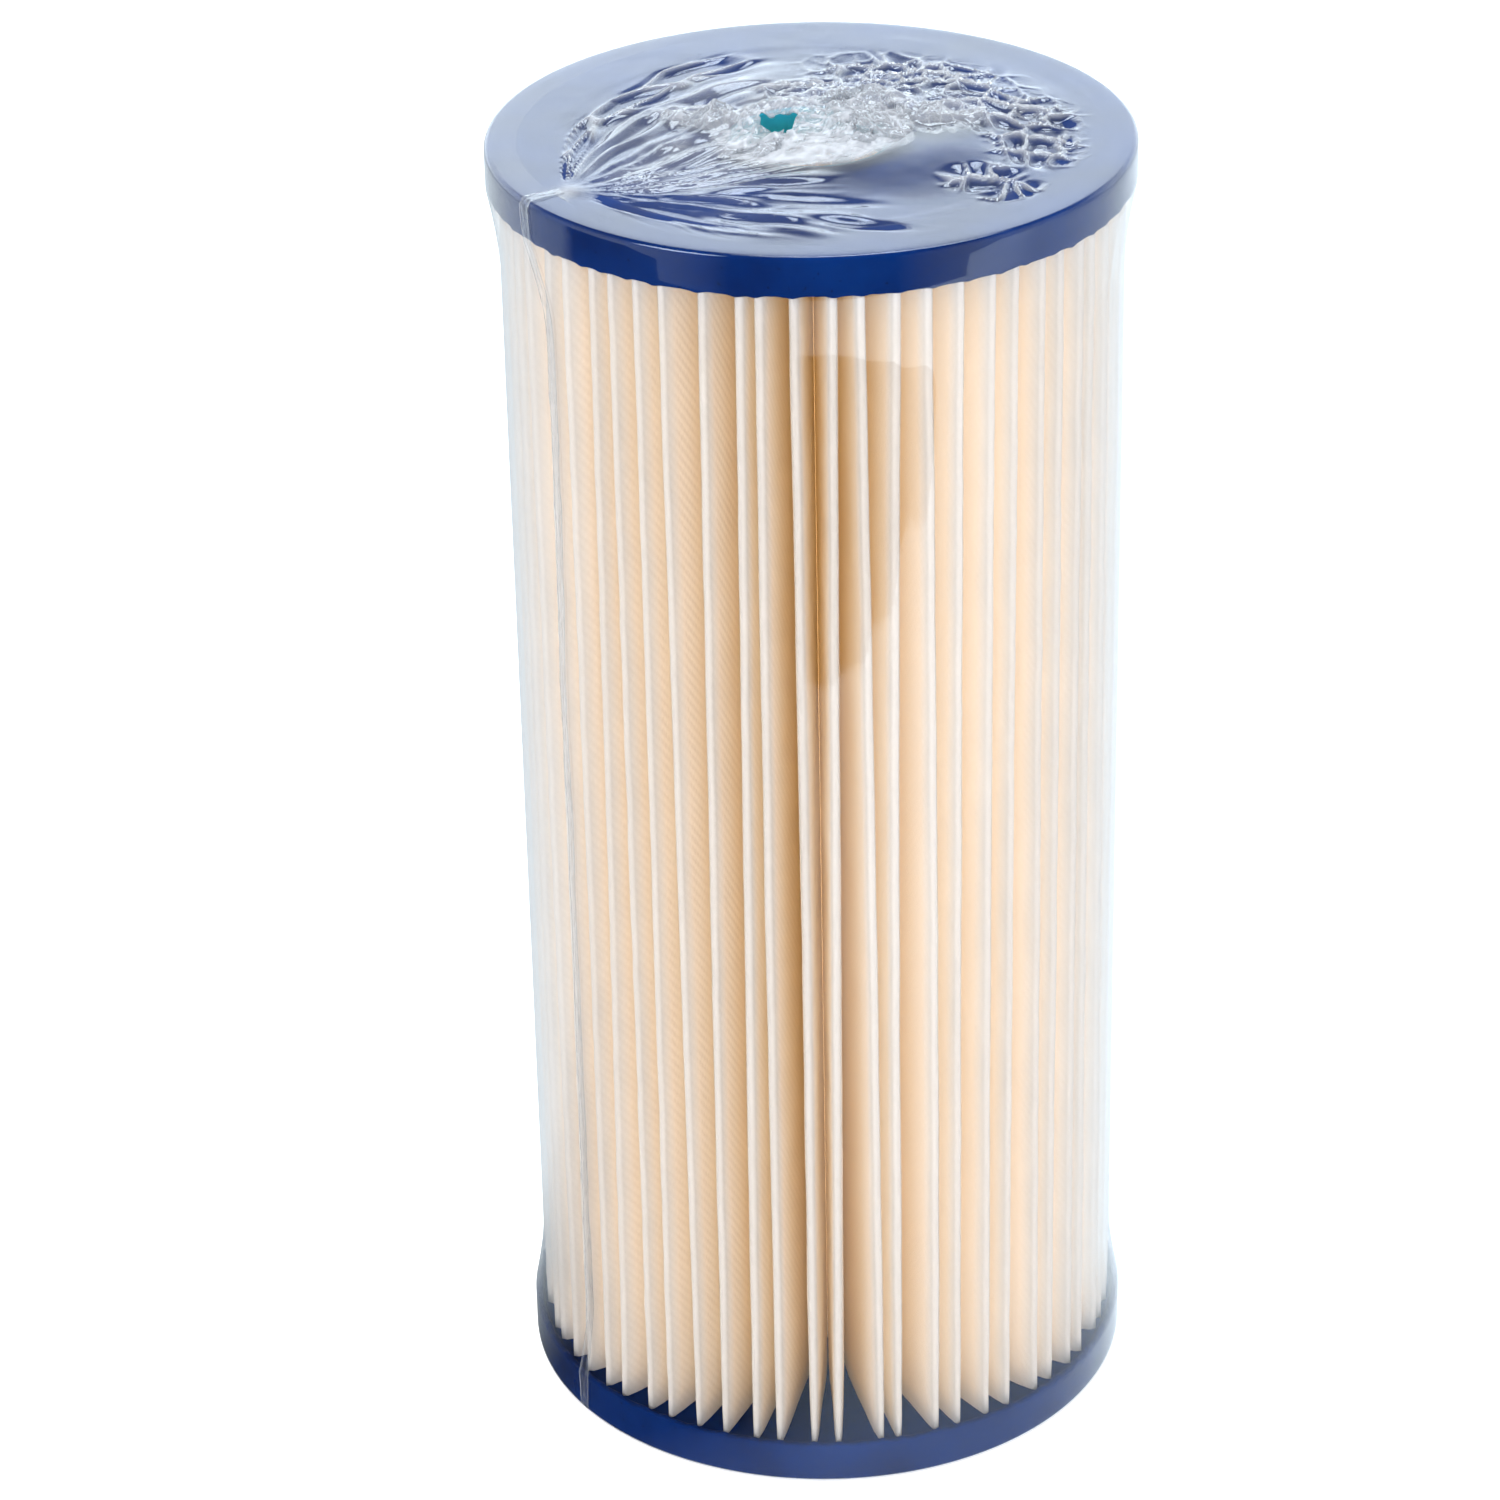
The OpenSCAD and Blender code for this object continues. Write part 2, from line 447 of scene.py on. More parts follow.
@dataclass(frozen=True)
class PleatedPaper:
    """Cream non-woven media, faintly embossed, with painted light in its colour: white on the
    folds, dimmed as painted shade, and a painted amber glow in the valleys for light bounced
    between the flanks.

    The light on its way to another surface partly passes through it, as it does through
    thin non-woven cloth, and takes on a warm tint.
    """

    # Painted light: the fold colour is dimmed, and the flank and valley colours hold a painted warm
    # glow.
    fold: Colour = (0.62, 0.57, 0.53, 1)
    flank: Colour = (1.0, 0.84, 0.70, 1)
    valley: Colour = (1.0, 0.69, 0.38, 1)
    wicked_and_shaded: Colour = (0.52, 0.54, 0.60, 1)
    strand: Colour = (0.74, 0.62, 0.46, 1)
    emboss_mm: float = 1.7
    lets_through: float = 0.985
    tint: Colour = (1.0, 0.962, 0.89, 1)

    def material(self) -> bpy.types.Material:
        """Builds the material from the attributes depth, along, height and wick_and_shade.

        The embossing is two sets of slanting ribs, each the sine of the way along the
        sheet plus or minus 0.8 of the height, with fine noise over them.

        Returns:
            The material.
        """
        r = Recipe("pleated_media")
        place = r.object_place()
        depth = r.attribute("depth")
        blotch = r.product(r.math("SUBTRACT", r.noise(place, 60.0, 4.0), 0.5), 0.04)
        depth = r.math("ADD", depth, blotch)
        # Painted light by depth: a painted amber glow of bounced light in the valleys and on the
        # flanks, and painted shade that dims the folds.
        colour = r.mix_colour(r.remap(depth, 0.12, 0.78), self.valley, self.flank)
        colour = r.mix_colour(r.remap(depth, 0.88, 0.985), colour, self.fold)
        fibre = r.noise(r.object_place((1, 1, 0.35)), 1400.0, 4.0, 0.65)
        colour = r.mix_colour(r.remap(fibre, 0.3, 0.75, 0.0, 0.10), colour, self.strand)
        # Greyer near the caps: partly resin soaked into the sheet, partly painted shade.
        colour = r.mix_colour(r.attribute("wick_and_shade"), colour, self.wicked_and_shaded)
        along, height = r.attribute("along"), r.attribute("height")
        emboss = r.product(r.noise(place, 2200.0, 4.0, 0.7), 1.6)
        for slant, strength in ((0.8, 0.5), (-0.8, 0.225)):
            phase = r.math("ADD", along, r.product(height, slant))
            wave = r.math("SINE", r.product(phase, 2 * math.pi / self.emboss_mm))
            emboss = r.math("ADD", emboss, r.product(wave, strength))
        normal = r.bump(emboss, 0.22, 0.10)
        face = r.node("BsdfPrincipled", {
            "Base Color": colour, "Roughness": 0.88, "Specular IOR Level": 0.2, "Normal": normal,
        })
        open_weave = r.node("BsdfTransparent", {"Color": self.tint})
        thin = r.mix(self.lets_through, face, open_weave)
        path = r.node("LightPath")
        shader = face
        for ray in ("Is Shadow Ray", "Is Diffuse Ray"):
            shader = r.mix(path.outputs[ray], shader, thin)
        return r.finish(shader)


@dataclass(frozen=True)
class ShrinkFilm:
    """Thin clear film: it mirrors more at a glance, and is milky where it is crumpled."""

    head_on: float = 0.034
    clear: Colour = (0.985, 0.988, 0.99, 1)
    milk: Colour = (0.44, 0.47, 0.52, 1)

    def material(self) -> bpy.types.Material:
        """Builds the material from the attribute haze.

        The mirrored share is s + (1 - s) f^5, with s the share head on and f how far the
        surface is turned away, which is the same from both sides of the film.

        Returns:
            The material.
        """
        r = Recipe("shrink_film")
        place = r.object_place()
        turned = r.node("LayerWeight", {"Blend": 0.5}).outputs["Facing"]
        fifth = r.math("POWER", turned, 5.0)
        share = r.math("ADD", r.product(fifth, 1 - self.head_on), self.head_on, clamp=True)
        ripple = r.noise(place, 260.0, 2.0)
        normal = r.bump(ripple, 0.04, 0.15)
        clear = r.node("BsdfTransparent", {"Color": self.clear})
        mirror = r.node("BsdfGlossy", {"Color": (1, 1, 1, 1), "Roughness": 0.04, "Normal": normal})
        film = r.mix(share, clear, mirror)
        milky = r.node("BsdfPrincipled", {
            "Base Color": self.milk, "Roughness": 0.25, "Specular IOR Level": 0.6,
        })
        haze = r.attribute("haze")
        cloud = r.remap(r.noise(place, 180.0, 3.0), 0.3, 0.7, 0.8, 1.2)
        haze = r.math("MULTIPLY", haze, cloud, clamp=True)
        return r.finish(r.mix(haze, film, milky))


@dataclass(frozen=True)
class MouldedWhite:
    """Moulded natural polypropylene of the core tube, with painted shade that darkens it towards
    its inside wall.
    """

    outer_r: float
    wall: float
    colour: Colour = (0.80, 0.80, 0.77, 1)
    shade: Colour = (0.70, 0.71, 0.68, 1)
    # A painted shade, for the inside wall.
    inside: Colour = (0.10, 0.16, 0.24, 1)

    def material(self) -> bpy.types.Material:
        """Builds the material."""
        r = Recipe("moulded_polypropylene")
        place = r.object_place()
        flow = r.noise(r.object_place((1, 1, 0.15)), 120.0, 3.0)
        outer = (self.outer_r - 0.2 * self.wall) * MM
        inner = (self.outer_r - 0.8 * self.wall) * MM
        # Painted shade: the colour darkens to a dark blue-grey towards the tube's inside wall.
        painted_shade_inwards = r.remap(r.from_axis(), outer, inner)
        colour = r.mix_colour(r.remap(flow, 0.35, 0.65), self.colour, self.shade)
        shader = r.node("BsdfPrincipled", {
            "Base Color": r.mix_colour(painted_shade_inwards, colour, self.inside),
            "Roughness": r.remap(r.noise(place, 300.0), 0.3, 0.7, 0.38, 0.5),
            "Normal": r.bump(r.noise(place, 700.0), 0.1, 0.05),
        })
        return r.finish(shader)


@dataclass(frozen=True)
class SetAdhesive:
    """Set hot-melt adhesive: cream, glossy and slightly lumpy."""

    colour: Colour = (0.80, 0.74, 0.60, 1)
    amber: Colour = (0.66, 0.58, 0.42, 1)

    def material(self) -> bpy.types.Material:
        """Builds the material."""
        r = Recipe("set_adhesive")
        place = r.object_place()
        clouds = r.remap(r.noise(place, 250.0), 0.3, 0.7, 0, 0.4)
        shader = r.node("BsdfPrincipled", {
            "Base Color": r.mix_colour(clouds, self.colour, self.amber),
            "Roughness": 0.3,
            "Normal": r.bump(r.noise(place, 500.0), 0.3, 0.1),
        })
        return r.finish(shader)


# ---------------------------------------------------------------------------
# Sizes that the frame gives
# ---------------------------------------------------------------------------


@dataclass
class Frame:
    """Heights and radii of the CAD model, in millimetres."""

    cap_r: float = field(init=False)
    bore_r: float = field(init=False)
    pleat_r: float = field(init=False)
    core_r: float = field(init=False)
    bottom_face: float = field(init=False)
    bottom_rim: float = field(init=False)
    top_rim: float = field(init=False)
    top_face: float = field(init=False)
    media_z0: float = field(init=False)
    media_z1: float = field(init=False)

    def __post_init__(self) -> None:
        """Reads the CAD nodes' boxes and the bore's mount."""
        def span(node: str, axis: int) -> tuple[float, float]:
            """Lowest and highest place of a CAD node along an axis."""
            low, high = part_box(node)
            return low[axis] / MM, high[axis] / MM

        self.cap_r = span("top_end_cap", 0)[1]
        self.pleat_r = max(abs(v) for v in span("pleated_media", 0))
        self.core_r = span("core_tube", 0)[1]
        self.bottom_face, self.bottom_rim = span("bottom_end_cap", 2)
        self.top_rim, self.top_face = span("top_end_cap", 2)
        self.media_z0, self.media_z1 = span("pleated_media", 2)
        bores = [m for m in frame["record"]["mounts"] if m["name"] == "top_bore"]
        self.bore_r = bores[0]["dims"]["r_mm"]

    def share_up(self, z: np.ndarray) -> np.ndarray:
        """How far up the free height a point is, from 0 at the bottom rim to 1 at the top."""
        return (z - self.bottom_rim) / (self.top_rim - self.bottom_rim)


# ---------------------------------------------------------------------------
# Pleated media
# ---------------------------------------------------------------------------


@dataclass
class PleatLayout:
    """Where each pleat's root and tip stand, which changes a little with height."""

    size: Frame
    count: int = 60
    seam_azimuth: float = 90.0
    seed: int = 11
    pairing: float = 1.0
    stray: float = 0.75
    bow: float = 0.35
    closest: float = 2.35
    straight_r: float = 27.0

    def __post_init__(self) -> None:
        """Draws how far each pleat's tip strays at the bottom and the top."""
        random = np.random.default_rng(self.seed)
        alternate = np.where(np.arange(self.count) % 2, 1.0, -1.0)
        strength = random.uniform(-0.2, 1.3, self.count // 2).repeat(2)
        paired = alternate * strength * self.pairing
        self.at_bottom = self.spread(paired + 0.6 * self.stray * random.normal(size=self.count))
        self.at_top = self.spread(self.stray * random.normal(size=self.count))
        self.at_middle = self.bow * random.normal(size=self.count)
        self.width = random.uniform(0.88, 1.12, self.count)
        self.wobble_seed = int(random.integers(1000))

    def spread(self, stray: np.ndarray) -> np.ndarray:
        """Pushes tips that stray too close to each other apart again.

        Args:
            stray: How far each tip strays, in degrees.

        Returns:
            The same, with every tip at least the closest distance from the next.
        """
        pitch = 360 / self.count
        for _ in range(12):
            lack = self.closest - (pitch + np.roll(stray, -1) - stray)
            push = np.maximum(lack, 0) / 2
            stray = stray - push + np.roll(push, 1)
        return stray

    def root_azimuth(self) -> np.ndarray:
        """Azimuth of each pleat at the core, in degrees."""
        return self.seam_azimuth + (np.arange(self.count) + 0.5) * 360 / self.count

    def tip_azimuth(self, z: np.ndarray) -> np.ndarray:
        """Azimuth of every tip at every height.

        Args:
            z: Heights.

        Returns:
            Degrees, with the heights down and the pleats across.
        """
        up = self.size.share_up(z)[:, None]
        lean = (1 - up) * self.at_bottom + up * self.at_top
        bowed = self.at_middle * np.sin(np.pi * np.clip(up, 0, 1))
        wobble = 0.10 * gradient_noise(
            z[:, None] / 26, np.arange(self.count)[None, :] * 5.3, self.wobble_seed
        )
        return self.root_azimuth() + lean + bowed + wobble


@dataclass
class PleatedMedia:
    """The folded sheet, with both of its sides, and the adhesive bead at its seam."""

    size: Frame
    layout: PleatLayout
    sheet_t: float = 0.6
    fold_clearance: float = 0.3
    root_turn: float = 1.0
    rows: int = 62

    def folded_profile(self) -> tuple[np.ndarray, np.ndarray]:
        """The sheet's middle line across one pleat: up one flank, over the tip and back.

        Returns:
            Radii, and ways sideways from the pleat's middle.
        """
        root_r = self.size.core_r + self.fold_clearance + self.sheet_t / 2
        tip_r = self.size.pleat_r - self.sheet_t / 2
        inner_r = self.layout.straight_r
        pitch = 2 * math.pi / self.layout.count
        radii = np.array([
            root_r, inner_r, inner_r + 6, inner_r + 15, tip_r - 3.4, tip_r - 0.7, tip_r,
        ])
        widths = np.array([
            pitch * root_r / 4, pitch * inner_r / 2 - 0.36, 1.22, 1.02, 0.80, 0.46, 0.0,
        ])
        return np.concatenate([radii, radii[-2::-1]]), np.concatenate([-widths, widths[-2::-1]])

    def run_along(self) -> np.ndarray:
        """Way along the sheet to each point of one pleat, from the pleat's first root."""
        radii, sides = self.folded_profile()
        return np.concatenate([[0], np.cumsum(np.hypot(np.diff(radii), np.diff(sides)))])

    def pleat_length(self) -> float:
        """Length of sheet in one pleat, with the turn at its root."""
        return float(self.run_along()[-1]) + self.root_turn

    def wicking_and_shade(self, z: np.ndarray, outward: np.ndarray) -> np.ndarray:
        """How far resin has soaked into the sheet, and how much painted shade lies there: most at
        the two caps, less at the tips.
        """
        reach = 2.6 - 1.2 * outward
        above = np.clip(z - (self.size.bottom_rim - 1.6), 0, None)
        below = np.clip((self.size.top_rim + 1.6) - z, 0, None)
        return 0.75 * np.exp(-above / reach) + 0.6 * np.exp(-below / (reach + 2))

    def middle_surface(self) -> tuple[np.ndarray, dict[str, np.ndarray]]:
        """The sheet's middle surface as rows of points up the height.

        Along a row the sheet goes out one flank of a pleat, over its tip and back. A point
        is at its radius, turned to the pleat's azimuth there, and moved sideways by the
        half width. The azimuth goes from the root's to the tip's as the radius grows.

        Returns:
            The points, and the depth, along, height and wick_and_shade attributes.
        """
        z = np.linspace(self.size.media_z0, self.size.media_z1, self.rows)
        radii, sides = self.folded_profile()
        tip_r = radii.max()
        outward = np.clip((radii - self.layout.straight_r) / (tip_r - self.layout.straight_r), 0, 1)

        count, steps = self.layout.count, len(radii)
        roots = np.broadcast_to(self.layout.root_azimuth(), (self.rows, count))
        tips = self.layout.tip_azimuth(z)
        azimuth = np.radians(roots[:, :, None] + (tips - roots)[:, :, None] * outward)
        number = np.arange(count)[None, :, None]
        ragged = layered_noise(z[:, None, None] / 5.5, number * 3.7 + 0.5, 31, 3) * 0.16
        radius = radii + ragged * outward**6
        swell = 1 + 0.10 * gradient_noise(z[:, None, None] / 34, number * 2.9, 53)
        side = sides * (1 + (self.layout.width[None, :, None] * swell - 1) * outward)
        from_resin = np.clip(z - self.size.bottom_rim, 0, None)[:, None, None]
        side = side * (1 - 0.46 * np.exp(-from_resin / 9) * outward)
        waves = layered_noise(z[:, None, None] / 17, number * 4.1 + radii / 9, 71, 3)
        side = side + 0.22 * waves * np.sin(np.pi * outward)
        x = radius * np.cos(azimuth) - side * np.sin(azimuth)
        y = radius * np.sin(azimuth) + side * np.cos(azimuth)
        points = np.stack(np.broadcast_arrays(x, y, z[:, None, None]), axis=-1)
        points = points.reshape(self.rows, count * steps, 3)

        attributes = {
            "depth": outward,
            "along": number * self.pleat_length() + self.run_along(),
            "height": z[:, None, None],
            "wick_and_shade": self.wicking_and_shade(z[:, None, None], outward),
        }
        shape = (self.rows, count, steps)
        return points, {
            name: np.broadcast_to(values, shape).reshape(self.rows, -1)
            for name, values in attributes.items()
        }

    def build(self, paper: bpy.types.Material, adhesive: bpy.types.Material) -> None:
        """Builds the sheet and its seam bead.

        The sheet's two faces lie half its thickness to each side of the middle surface,
        and are joined into one closed wall at its edges.

        Args:
            paper: The sheet's material.
            adhesive: The bead's material.
        """
        middle, attributes = self.middle_surface()
        along_row = np.gradient(middle, axis=1)
        normal = np.stack([along_row[..., 1], -along_row[..., 0]], axis=-1)
        normal /= np.linalg.norm(normal, axis=-1, keepdims=True)
        shift = np.zeros_like(middle)
        shift[..., :2] = normal * self.sheet_t / 2
        outer, inner = middle + shift, middle - shift
        loop = np.concatenate([outer, inner[:, ::-1]], axis=1)
        both = {k: np.concatenate([v, v[:, ::-1]], axis=1) for k, v in attributes.items()}
        rows, columns = loop.shape[:2]
        faces = grid_faces(rows, columns, wrap_columns=True)
        half = columns // 2
        k = np.arange(half - 1)
        ends = [
            np.stack([k + 1, k, columns - 1 - k, columns - 2 - k], axis=-1),
            (rows - 1) * columns + np.stack([k, k + 1, columns - 2 - k, columns - 1 - k], axis=-1),
        ]
        sheet = make_piece(
            "pleated_sheet", loop, np.concatenate([faces, *ends]), paper, both,
            ("pleated_media",),
        )
        self.build_seam(adhesive, middle)

    def build_seam(self, adhesive: bpy.types.Material, middle: np.ndarray) -> None:
        """Builds the bead between the sheet's two edges: a wavy strip in the seam's valley.

        Args:
            adhesive: The bead's material.
            middle: The sheet's middle surface, which gives the heights.
        """
        z = middle[:, 0, 2]
        reach = 4.0 + 0.5 * gradient_noise(z / 9, np.zeros_like(z), 3)
        root_r = self.size.core_r + self.fold_clearance / 2
        half_w = 0.2 + 0 * z
        radii = np.stack([root_r + 0 * z, root_r + 0 * z, root_r + reach, root_r + reach], axis=1)
        sides = np.stack([-half_w - 0.5, half_w + 0.5, half_w, -half_w], axis=1)
        a = math.radians(self.layout.seam_azimuth)
        x = radii * math.cos(a) - sides * math.sin(a)
        y = radii * math.sin(a) + sides * math.cos(a)
        points = np.stack([x, y, np.broadcast_to(z[:, None], x.shape)], axis=-1)
        rows = len(z)
        faces = grid_faces(rows, 4, wrap_columns=True)
        ends = np.array([[3, 2, 1, 0], [0, 1, 2, 3]]) + np.array([[0], [(rows - 1) * 4]])
        make_piece(
            "seam_bead", points, np.concatenate([faces, ends]), adhesive,
            replaced=("media_seam_bead",),
        )


# ---------------------------------------------------------------------------
# End caps
# ---------------------------------------------------------------------------


@dataclass
class EndCap:
    """One cast cap: a flat face with a shallow recess, a rim, and a cast floor within it."""

    size: Frame
    layout: PleatLayout
    name: str
    node: str
    top: bool
    recess_r: float = 44.5
    recess: float = 0.6
    corner_r: float = 0.9
    lip_w: float = 0.9
    lip_r: float = 0.42
    dish: float = 1.6
    around: int = 720

    def profile(self, rim_h: float) -> tuple[np.ndarray, np.ndarray, np.ndarray]:
        """Half section from the bore's outer edge round the cap and back.

        Args:
            rim_h: Height of the rim.

        Returns:
            Radii, heights above the outer face, and how much of the rim's waviness each
            point takes.
        """
        def arc(
            r: float, z: float, radius: float, start: float, stop: float, steps: int
        ) -> np.ndarray:
            """Points of an arc about (r, z), from one angle in degrees to another."""
            t = np.radians(np.linspace(start, stop, steps))
            return np.stack([r + radius * np.cos(t), z + radius * np.sin(t)], axis=-1)

        def line(start: tuple[float, float], stop: tuple[float, float], steps: int) -> np.ndarray:
            """Points of a straight line, with both of its ends."""
            return np.linspace(start, stop, steps)

        cap_r, bore_r = self.size.cap_r, self.size.bore_r
        recess_r, recess, corner_r, lip_r = self.recess_r, self.recess, self.corner_r, self.lip_r
        floor = rim_h - self.dish
        lip_inside = cap_r - self.lip_w
        half_section = np.concatenate([
            line((bore_r, recess + 0.3), (bore_r + 0.3, recess), 2),
            line((bore_r + 1.5, recess), (recess_r - 1.6, recess), 14),
            np.array([[recess_r - 0.9, recess], [recess_r, 0.06], [recess_r + 0.9, 0]]),
            line((recess_r + 3, 0), (cap_r - corner_r - 0.5, 0), 6),
            arc(cap_r - corner_r, corner_r, corner_r, -90, 0, 7),
            line((cap_r, corner_r + 0.5), (cap_r, rim_h - lip_r - 0.5), 6),
            arc(cap_r - lip_r, rim_h - lip_r, lip_r, 0, 90, 5),
            arc(lip_inside, rim_h - 0.4, 0.4, 90, 160, 3),
            line((lip_inside - 0.55, floor + 0.5), (lip_inside - 0.8, floor + 0.12), 2),
            line((lip_inside - 1.4, floor), (bore_r + 0.2, floor), 24),
            line((bore_r, floor - 0.3), (bore_r, recess + 2.5), 2),
        ])
        radius, height = half_section.T
        return radius, height, smooth_step(rim_h * 0.45, rim_h - 0.4, height)

    def build(self, resin: bpy.types.Material) -> None:
        """Builds the cap, with a rim edge and a floor that rise and fall with the pleats.

        The resin climbs each pleat a little as it sets: the floor rises by a bump at every
        tip's azimuth, and the rim's free edge follows with slow noise added.

        Args:
            resin: The cap's material.
        """
        size = self.size
        rim_h = size.top_face - size.top_rim if self.top else size.bottom_rim - size.bottom_face
        radius, height, waviness = self.profile(rim_h)
        azimuth = np.linspace(0, 2 * math.pi, self.around, endpoint=False)
        level = np.array([size.top_rim if self.top else size.bottom_rim])
        tips = np.radians(self.layout.tip_azimuth(level)[0])
        away = (azimuth[:, None] - tips + math.pi) % (2 * math.pi) - math.pi
        climb = np.exp(-((away / 0.017) ** 2)).sum(axis=1)
        slow = gradient_noise(azimuth * 9, 0 * azimuth, 5 + self.top) * 0.22
        fine = gradient_noise(azimuth * 31, 0 * azimuth, 9 + self.top) * 0.10
        edge = slow + fine + 0.28 * climb - 0.12
        inward = smooth_step(size.cap_r - 1.0, size.cap_r - 2.6, radius)
        up = waviness * (1 - inward)
        z = height[:, None] + up[:, None] * edge[None, :]
        on_floor = smooth_step(rim_h - self.dish - 0.2, rim_h - self.dish - 0.01, height) * inward
        pool = gradient_noise(azimuth[None, :] * 12, radius[:, None] / 7, 15) * 0.15
        z = z + on_floor[:, None] * (0.45 * climb[None, :] + pool)
        z = np.maximum(z, 0.0)
        faces = grid_faces(len(radius), self.around, wrap_rows=True, wrap_columns=True)
        if self.top:
            z, faces = size.top_face - z, faces[:, ::-1]
        else:
            z = size.bottom_face + z
        points = cylinder_points(radius[:, None], azimuth[None, :], z)
        make_piece(self.name, points, faces, resin, replaced=(self.node,))


# ---------------------------------------------------------------------------
# Shrink film
# ---------------------------------------------------------------------------

FILM_T = 0.05
FILM_GAP = 0.12


@dataclass
class FilmSleeve:
    """The film round the side: flat from tip to tip, and out over both rims."""

    size: Frame
    layout: PleatLayout
    gap: float = FILM_GAP
    slope_h: float = 16.0
    corner_r: float = 0.9
    face_reach: float = 5.65
    steps_per_pleat: int = 6
    milky_from: float = 215.0

    def heights(self) -> np.ndarray:
        """Heights of the rows, closer together on the rims and the slopes."""
        s = self.size
        return np.concatenate([
            np.linspace(s.bottom_face + self.corner_r, s.bottom_rim, 7),
            np.linspace(s.bottom_rim, s.bottom_rim + self.slope_h, 12)[1:],
            np.linspace(s.bottom_rim + self.slope_h, s.top_rim - self.slope_h, 56)[1:-1],
            np.linspace(s.top_rim - self.slope_h, s.top_rim, 12),
            np.linspace(s.top_rim, s.top_face - self.corner_r, 6)[1:],
        ])

    def radius_at(self, azimuth: np.ndarray, z: np.ndarray) -> np.ndarray:
        """Radius of the film at azimuths in degrees, for every height.

        Between two tips the film is a straight chord. Towards a rim it leaves the tips and
        slopes out to the rim's edge in a shallow curve.

        Args:
            azimuth: Heights down, columns across, in degrees.
            z: Heights.

        Returns:
            Radii in millimetres.
        """
        s = self.size
        tips = np.sort(self.layout.tip_azimuth(np.clip(z, s.bottom_rim, s.top_rim)) % 360, axis=1)
        tips = np.concatenate([tips[:, -1:] - 360, tips, tips[:, :1] + 360], axis=1)
        turned = azimuth % 360
        before = (tips[:, None, :] <= turned[:, :, None]).sum(axis=2) - 1
        low = np.take_along_axis(tips, before, axis=1)
        high = np.take_along_axis(tips, before + 1, axis=1)
        half, middle = np.radians(high - low) / 2, (high + low) / 2
        tip_r = s.pleat_r + self.gap
        chord = tip_r * np.cos(half) / np.cos(np.radians(turned - middle))
        rim_r = s.cap_r + self.gap
        from_rim = np.minimum(z - s.bottom_rim, s.top_rim - z)[:, None] / self.slope_h
        share = np.clip(from_rim, 0, 1)
        slope = rim_r + (chord - rim_r) * (1 - (1 - share) ** 1.6)
        ripple = 0.05 * gradient_noise(turned / 2.6, z[:, None] / 30, 44) * share
        return np.where(from_rim <= 0, rim_r, slope + np.abs(ripple))

    def build(self, film: bpy.types.Material) -> None:
        """Builds the sleeve: its side, and a quarter turn and a flat ring at each end.

        Args:
            film: Its material.
        """
        size = self.size
        z = self.heights()
        columns = self.layout.count * self.steps_per_pleat
        azimuth = np.arange(columns) * 360 / columns
        everywhere = np.broadcast_to(azimuth, (len(z), columns))
        side = cylinder_points(self.radius_at(everywhere, z), np.radians(everywhere), z[:, None])
        corner = np.radians(np.linspace(0, 90, 7))[1:]
        reach = self.corner_r + self.gap
        on_face = size.cap_r - self.face_reach * np.array([0.5, 1.0])
        round_corner = size.cap_r - self.corner_r + reach * np.cos(corner)
        turn_r = np.concatenate([round_corner, on_face])[:, None]
        turn_z = np.concatenate([reach * np.sin(corner), [reach, reach]])[:, None]
        around = np.radians(azimuth)[None, :]
        top = cylinder_points(turn_r, around, size.top_face - self.corner_r + turn_z)
        bottom = cylinder_points(turn_r, around, size.bottom_face + self.corner_r - turn_z)
        points = np.concatenate([bottom[::-1], side, top], axis=0)
        faces = grid_faces(points.shape[0], points.shape[1], wrap_columns=True)
        sleeve = make_piece(
            "film_wrap", points, faces, film, {"haze": self.haze(points)},
            ("film_sleeve",),
        )
        thicken(sleeve, FILM_T)

    def haze(self, points: np.ndarray) -> np.ndarray:
        """How milky the sleeve is: most where it stands off the top rim left of the weld.

        Args:
            points: The sleeve's points.

        Returns:
            Shares from 0 to 1.
        """
        azimuth = np.degrees(np.arctan2(points[..., 1], points[..., 0])) % 360
        z = points[..., 2]
        on_rim = smooth_step(self.size.top_rim - 3, self.size.top_rim + 1, z)
        left = smooth_step(self.milky_from - 1, self.milky_from - 3, azimuth)
        left = left * smooth_step(100, 130, azimuth)
        mottle = 0.5 + 0.5 * gradient_noise(azimuth / 7, z / 9, 61)
        return 0.07 * on_rim * left * (0.6 + 0.4 * mottle)


